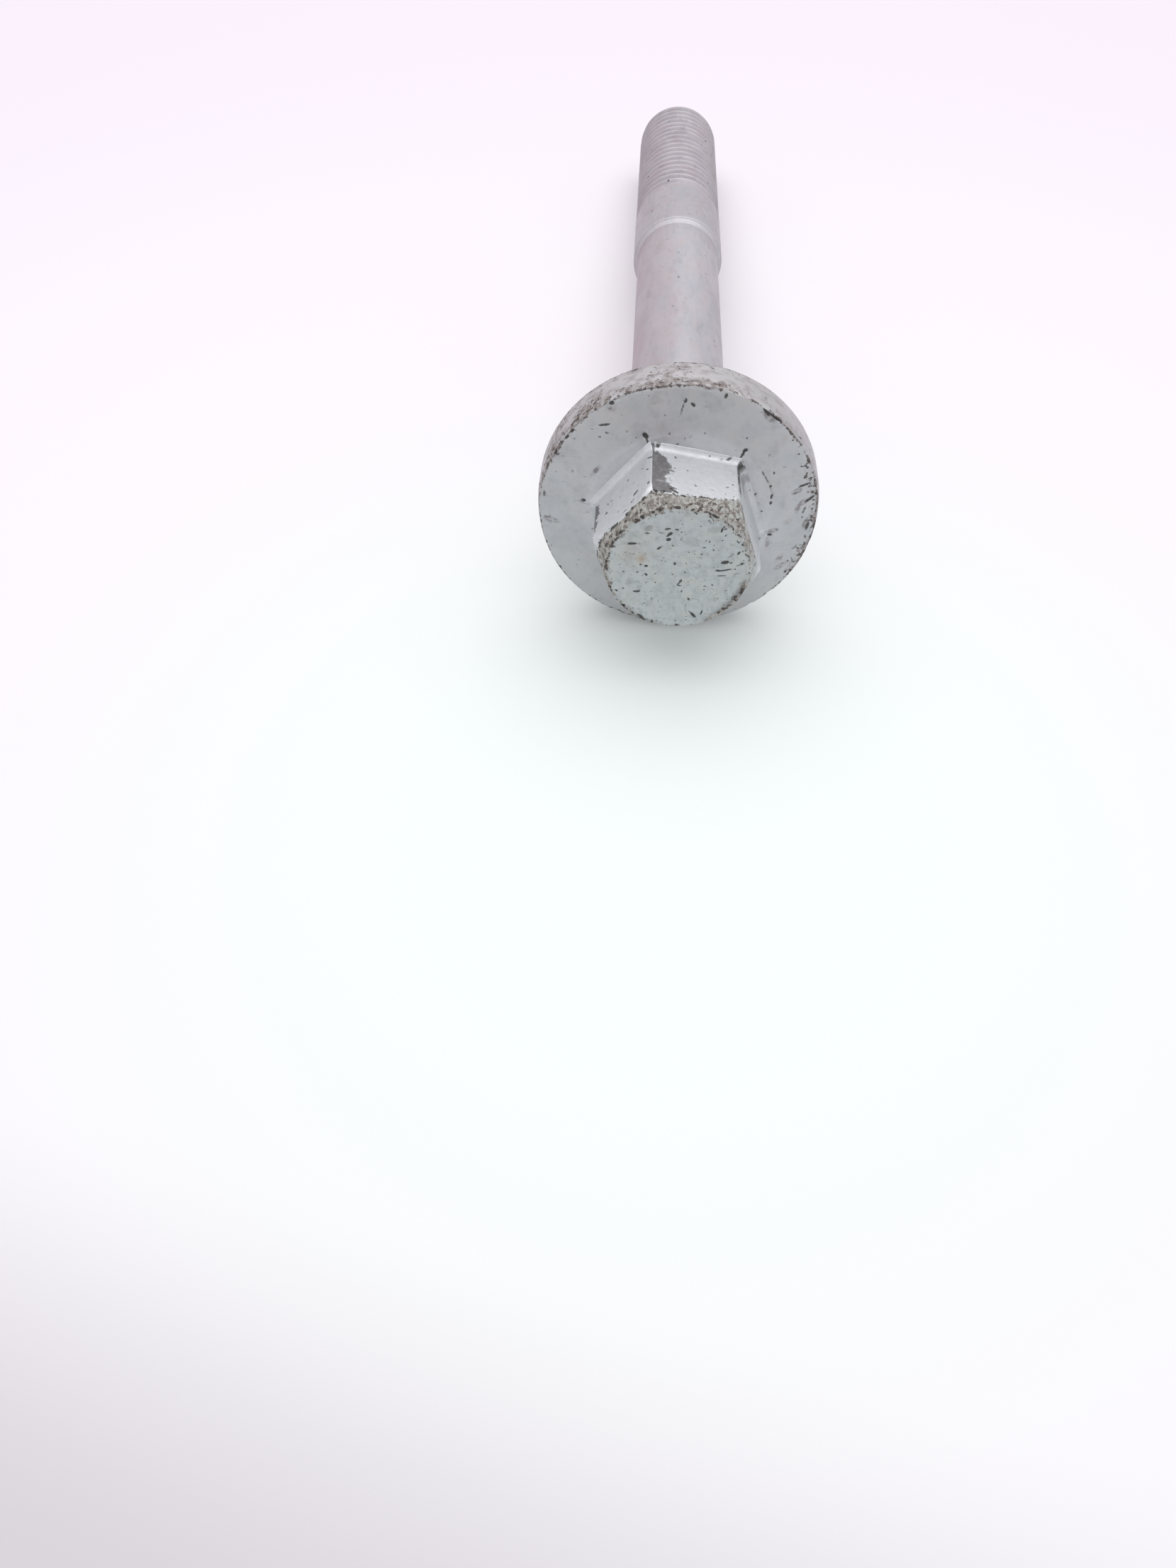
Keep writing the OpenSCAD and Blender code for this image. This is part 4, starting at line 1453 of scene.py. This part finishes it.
@dataclass
class ThreadedEnd:
    """The rolled thread and the plain lead point past it. Sizes are in mm."""

    thread_start: float
    thread_end: float
    crest_r: float
    point_r: float
    tip_y: float
    blank_r: float
    pitch: float = 1.75
    depth: float = 1.073
    run_out: float = 3.5
    point_edge: float = 0.6
    around: int = 180

    def form(self, phase: Array) -> Array:
        """The thread's depth below its crest, in mm, at a phase from 0 to 1 over one pitch.

        The crest's middle is at phase 0.5. Its flat is an eighth of the pitch wide, the flanks fall
        at 30 degrees from square to the axis, and the root stops at the thread's depth. Both bends
        are rounded by a smooth maximum and minimum.

        Args:
            phase: How far along one pitch each point lies.

        Returns:
            The depth at each point.
        """
        away = np.abs(phase - 0.5) * self.pitch - self.pitch / 16.0
        flank = away * math.sqrt(3.0)
        width = 0.05
        risen = width * np.logaddexp(0.0, flank / width)
        return self.depth - width * np.logaddexp(0.0, (self.depth - risen) / width)

    def thread_mesh(self) -> bpy.types.Mesh:
        """A helical grid: the rows of one turn run on into those a pitch further on.

        A point at angle a on row k lies at y = start + pitch (phase k + whole turns + a / turn),
        kept between the thread's ends. Its radius is the crest's less the form's depth, which
        grows over the run-out, and no more than the 45-degree cone at the end.

        Returns:
            The thread's closed mesh, in metres.
        """
        turns = math.ceil((self.thread_end - self.thread_start) / self.pitch) + 2
        rows = (np.arange(turns)[:, None] + THREAD_PHASES).ravel() - 1.0
        share = np.arange(self.around) / self.around
        lead = rows[:, None] + share
        y = np.clip(self.thread_start + self.pitch * lead, self.thread_start, self.thread_end)
        cut = self.form(((y - self.thread_start) / self.pitch - share) % 1.0)
        grown = ease(y, self.thread_start, self.thread_start + self.run_out)
        full_r = self.blank_r + (self.crest_r - self.blank_r) * grown
        radius = np.minimum(full_r - cut * grown, self.point_r + (self.thread_end - y))
        angle = share * TURN
        rings = np.stack((radius * np.cos(angle), y, radius * np.sin(angle)), -1)
        soft, ragged = fractal(rings, 2.6, 101), fractal(rings, 0.5, 103)
        nicked = ease(ragged, 0.35, 0.8) * (1.0 - ease(cut, 0.1, 0.4))
        wall = np.maximum(radius - 0.05 * nicked - 0.006 * (1.0 + soft), 0.0)
        rings = np.stack((wall * np.cos(angle), y, wall * np.sin(angle)), -1)
        root = ease(cut, 0.35, 1.0) * grown
        crest = (1.0 - ease(cut, 0.05, 0.3)) * grown
        side = ease(-rings[..., 0], -1.0, self.blank_r)
        # Painted shade: the thread made a little darker along its top, where the lamp lights it
        # most.
        upward = bell(angle, math.pi / 2.0, 0.7)
        wear = {
            Wear.GRIME: unit(0.3 * root * (0.8 + 0.6 * soft)),
            Wear.SPECKS: unit(0.1 + 0.2 * root),
            Wear.SHEEN_AND_POLISH: unit(0.15 * crest * (0.6 + 0.8 * soft)),
            Wear.SCUFF_AND_SHADE: 0.12 * upward + 0.3 * ease(soft + 0.4 * ragged, 0.2, 0.8),
            # Darker and pinker towards -X.
            Wear.STAIN: unit(0.3 * side + 0.15 * ease(-soft, 0.1, 0.7)),
            Wear.DARK: 0.5 * nicked,
        }
        return self._weld(rings, wear, len(THREAD_PHASES))

    def _weld(self, rings: Array, wear: dict[Wear, Array], per_turn: int) -> bpy.types.Mesh:
        """Joins the helix's seam one turn on, welds the rows kept at an end, and closes both ends.

        Args:
            rings: The grid of rows by angles by x, y and z, in mm.
            wear: A value for each point of the grid, by kind of wear.
            per_turn: How many rows make one pitch.

        Returns:
            The closed mesh, in metres.
        """
        rows, around, _ = rings.shape
        here = np.arange(rows * around).reshape(rows, around)
        over = np.concatenate((here[:, 1:], np.roll(here[:, :1], -per_turn, 0)), 1)
        quads = np.stack((here[:-1], here[1:], over[1:], over[:-1]), -1)
        last = rows - per_turn - 1
        quads = np.concatenate((quads[:last].reshape(-1, 4), quads[last:, :-1].reshape(-1, 4)))
        y = rings.reshape(-1, 3)[:, 1][quads]
        at_end = (y[:, 0] < self.thread_start + 1e-9) | (y[:, 0] > self.thread_end - 1e-9)
        flat = at_end & (np.ptp(y, axis=1) < 1e-9)
        mesh = bpy.data.meshes.new("rolled_thread")
        mesh.from_pydata(rings.reshape(-1, 3) * MM, [], quads[~flat].tolist())
        for kind in Wear:
            carry(mesh, kind, wear[kind].ravel())
        shell = bmesh.new()
        shell.from_mesh(mesh)
        bmesh.ops.remove_doubles(shell, verts=shell.verts, dist=1e-7)
        loose = [v for v in shell.verts if not v.link_faces]
        bmesh.ops.delete(shell, geom=loose, context="VERTS")
        rim = [e for e in shell.edges if e.is_boundary]
        ends = bmesh.ops.holes_fill(shell, edges=rim, sides=0)["faces"]
        bmesh.ops.poke(shell, faces=ends)
        bmesh.ops.recalc_face_normals(shell, faces=shell.faces)
        shell.to_mesh(mesh)
        shell.free()
        return mesh

    def point_skin(self) -> Skin:
        """The lead point's grid: a short spigot with a rounded edge and a slightly dished end.

        Returns:
            The worn skin.
        """
        edge = self.point_edge
        start = self.thread_end - 0.3
        profile = chain(
            straight((self.point_r, start), (self.point_r, self.tip_y - edge), 0.12),
            round_turn((self.point_r - edge, self.tip_y - edge), edge, 0.0, 90.0, 9),
            straight((self.point_r - edge, self.tip_y), (0.1, self.tip_y), 0.12),
        )
        skin = Skin(lathe(profile, self.around), start, self.tip_y)
        points = skin.rings
        soft, ragged = fractal(points, 1.6, 107), fractal(points, 0.5, 109)
        radius = np.hypot(points[..., 0], points[..., 2])
        face = ease(points[..., 1], self.tip_y - 0.1, self.tip_y - 0.01)
        dish = 0.18 * face * (1.0 - ease(radius, 0.0, self.point_r - edge))
        skin.sink(0.02 * (1.0 + soft) + 0.03 * face * np.maximum(ragged, 0.0) + dish)
        skin.end_y = float(skin.rings[-1, :, 1].mean())
        corner = bell(radius, self.point_r - 0.3, 0.35)
        skin.wear[Wear.SHEEN_AND_POLISH] = unit(0.3 * corner + 0.15 * soft)
        skin.wear[Wear.SCUFF_AND_SHADE] = 0.4 * ease(soft + 0.5 * ragged, 0.3, 0.8)
        skin.wear[Wear.DARK] = 0.5 * ease(ragged, 0.5, 0.8) * face
        skin.wear[Wear.SPECKS] = np.full(radius.shape, 0.12)
        return skin

    def build(self, material: bpy.types.Material) -> None:
        """Makes and dresses the thread and the lead point.

        Args:
            material: The material that both wear.
        """
        finish_piece(self.thread_mesh(), "thread", material)
        point_mesh = self.point_skin().to_mesh("pilot_point")
        finish_piece(point_mesh, "lead_point", material)


# ---------------------------------------------------------------- the plain studio


@dataclass
class Studio:
    """A pale floor that the bolt lies on, soft light from above, and the camera.

    The bolt rests on its collar's rim and the thread's last crest, so its axis dips towards the
    thread, and the floor leans by that angle in the bolt's own frame. Sizes with no unit in their
    comment are in metres.
    """

    collar_r: float
    thread_r: float
    rim_y: float
    last_crest_y: float
    floor_reach: float = 2.4
    floor_steps: int = 61
    camera_place: tuple[float, float, float] = (-0.0041, -0.1068, 0.0690)
    camera_target: tuple[float, float, float] = (-0.0083, -0.0181, -0.0260)
    lens: float = 27.05
    sensor: float = 36.0
    world_strength: float = 0.5
    lamp_place: tuple[float, float, float] = (0.0, 0.0, 0.5)
    lamp_size: float = 0.9
    lamp_power: float = 2.4
    paper_share: float = 0.9
    paper_lift: float = 0.095
    tint_centre: tuple[float, float, float] = (0.0, -0.03, -0.0144)
    shade_way: tuple[float, float, float] = (-0.25, -1.0, 0.0)
    middle_tint: Rgb = srgb(250, 255, 255)
    near_tint: Rgb = srgb(254, 249, 255)
    wide_tint: Rgb = srgb(252, 243, 255)
    shade_tint: Rgb = srgb(219, 214, 220)

    def lean(self) -> float:
        """The floor's rise towards +Y, as an angle in radians."""
        return math.atan2(self.collar_r - self.thread_r, self.last_crest_y - self.rim_y)

    def up(self) -> Vector:
        """The floor's normal."""
        return Vector((0.0, -math.sin(self.lean()), math.cos(self.lean())))

    def floor(self) -> None:
        """Lays the floor: a grid over a wide square, on the plane that the bolt rests on."""
        steps = np.linspace(-self.floor_reach, self.floor_reach, self.floor_steps)
        x, run = np.meshgrid(steps, steps, indexing="ij")
        z = -self.collar_r * MM + math.tan(self.lean()) * (run - self.rim_y * MM)
        points = np.stack((x, run, z), -1).reshape(-1, 3)
        here = np.arange(self.floor_steps**2).reshape(self.floor_steps, self.floor_steps)
        quads = np.stack((here[:-1, :-1], here[1:, :-1], here[1:, 1:], here[:-1, 1:]), -1)
        mesh = bpy.data.meshes.new("studio_floor")
        mesh.from_pydata(points, [], quads.reshape(-1, 4).tolist())
        mesh.materials.append(self._floor_material())
        floor = bpy.data.objects.new("studio_floor", mesh)
        bpy.context.scene.collection.objects.link(floor)

    def _floor_material(self) -> bpy.types.Material:
        """Matt paper, faintly cyan in the middle and pink further out, with a painted shade towards
        the front left, fading to plain white.

        The camera and reflections see it lifted a little, and far off they see it as white. Its
        shadow is kept.

        Returns:
            The material.
        """
        material = bpy.data.materials.new("studio_paper")
        material.use_nodes = True
        material.node_tree.nodes.clear()
        graph = Graph(material.node_tree)
        place = graph.add("ShaderNodeTexCoord", {}).outputs["Object"]
        centred, forward = {0: place, 1: self.tint_centre}, {0: place, 1: self.shade_way}
        away = graph.add("ShaderNodeVectorMath", centred, operation="DISTANCE").outputs["Value"]
        along = graph.add("ShaderNodeVectorMath", forward, operation="DOT_PRODUCT")
        # A painted shade towards the front left, faded out further off.
        near_left = graph.step(along.outputs["Value"], 0.074, 0.106)
        beyond = graph.step(away, 0.11, 0.17)
        shade = graph.math("MULTIPLY", near_left, graph.math("SUBTRACT", 1.0, beyond))
        tint = graph.mix(graph.step(away, 0.022, 0.085), self.middle_tint, self.near_tint)
        tint = graph.mix(graph.step(away, 0.08, 0.2), tint, self.wide_tint)
        tint = graph.mix(shade, tint, self.shade_tint)
        tint = graph.mix(graph.step(away, 0.22, 0.6), tint, (1.0, 1.0, 1.0))
        far = graph.step(away, 0.1, 0.55)
        dimmed = graph.mix(graph.fade(far, self.paper_share, 0.0), (0.0, 0.0, 0.0), tint)
        paper = graph.add("ShaderNodeBsdfDiffuse", {"Color": dimmed})
        lift = graph.math("MULTIPLY", graph.seen(), graph.fade(far, self.paper_lift, 1.0))
        glow = graph.add("ShaderNodeEmission", {"Color": tint, "Strength": lift})
        both = graph.add("ShaderNodeAddShader", {0: paper.outputs[0], 1: glow.outputs[0]})
        graph.add("ShaderNodeOutputMaterial", {0: both.outputs[0]})
        return material

    def world(self) -> None:
        """An even world: white to the camera and to reflections, and softer as light."""
        world = bpy.data.worlds.new("studio_world")
        world.use_nodes = True
        world.node_tree.nodes.clear()
        graph = Graph(world.node_tree)
        strength = graph.fade(graph.seen(), self.world_strength, 1.0)
        sky = graph.add("ShaderNodeBackground", {"Color": (1.0, 1.0, 1.0), "Strength": strength})
        graph.add("ShaderNodeOutputWorld", {0: sky.outputs[0]})
        bpy.context.scene.world = world

    def lamps(self) -> None:
        """One wide soft lamp above the bolt."""
        light = bpy.data.lights.new("softbox", "AREA")
        light.shape = "DISK"
        light.size = self.lamp_size
        light.energy = self.lamp_power
        lamp = bpy.data.objects.new("softbox", light)
        lamp.location = self.lamp_place
        lamp.rotation_euler = (-lamp.location).to_track_quat("-Z", "Y").to_euler()
        bpy.context.scene.collection.objects.link(lamp)

    def camera(self) -> None:
        """Places the camera, level with the floor, and makes it the scene's."""
        place, target = Vector(self.camera_place), Vector(self.camera_target)
        forward = (target - place).normalized()
        right = forward.cross(self.up()).normalized()
        over = right.cross(forward)
        lens = bpy.data.cameras.new("camera")
        lens.lens = self.lens
        lens.sensor_width = self.sensor
        lens.clip_start = 0.005
        camera = bpy.data.objects.new("camera", lens)
        turned = Matrix((right, over, -forward)).transposed()
        camera.matrix_world = Matrix.Translation(place) @ turned.to_4x4()
        bpy.context.scene.collection.objects.link(camera)
        bpy.context.scene.camera = camera

    def build(self) -> None:
        """Sets up the camera, floor, world and lamps, and a plain display of colour."""
        self.camera()
        self.floor()
        self.world()
        self.lamps()
        bpy.context.scene.view_settings.view_transform = "Standard"
        LOG.info("studio: floor leans %.2f degrees", math.degrees(self.lean()))


def main() -> None:
    """Builds the studio and the bolt's sub-assemblies."""
    logging.basicConfig(level=logging.INFO, format="%(name)s %(message)s")
    face_y, foot_y = span_y("hex_head")
    shank_y, band_start = span_y("shank")
    band_end = span_y("guide_band")[1]
    thread_end = span_y("thread")[1]
    tip_y = span_y("lead_point")[1]
    collar_r, shank_r = reach_x("flange"), reach_x("shank")
    Studio(
        collar_r=collar_r, thread_r=reach_x("thread"), rim_y=-0.3, last_crest_y=thread_end - 1.1
    ).build()
    effects = ZincEffects()
    DrivingHead(
        face_y=face_y, foot_y=foot_y, collar_r=collar_r, shank_r=shank_r, shank_y=shank_y
    ).build(effects)
    Shank(
        shank_r=shank_r, shank_start=shank_y, band_r=reach_x("guide_band"),
        band_start=band_start, band_end=band_end,
    ).build(SHANK_FINISH.build(effects))
    ThreadedEnd(
        thread_start=band_end, thread_end=thread_end, crest_r=reach_x("thread"),
        point_r=reach_x("lead_point"), tip_y=tip_y, blank_r=reach_x("guide_band"),
    ).build(THREAD_FINISH.build(effects))


if __name__ == "__main__":
    main()
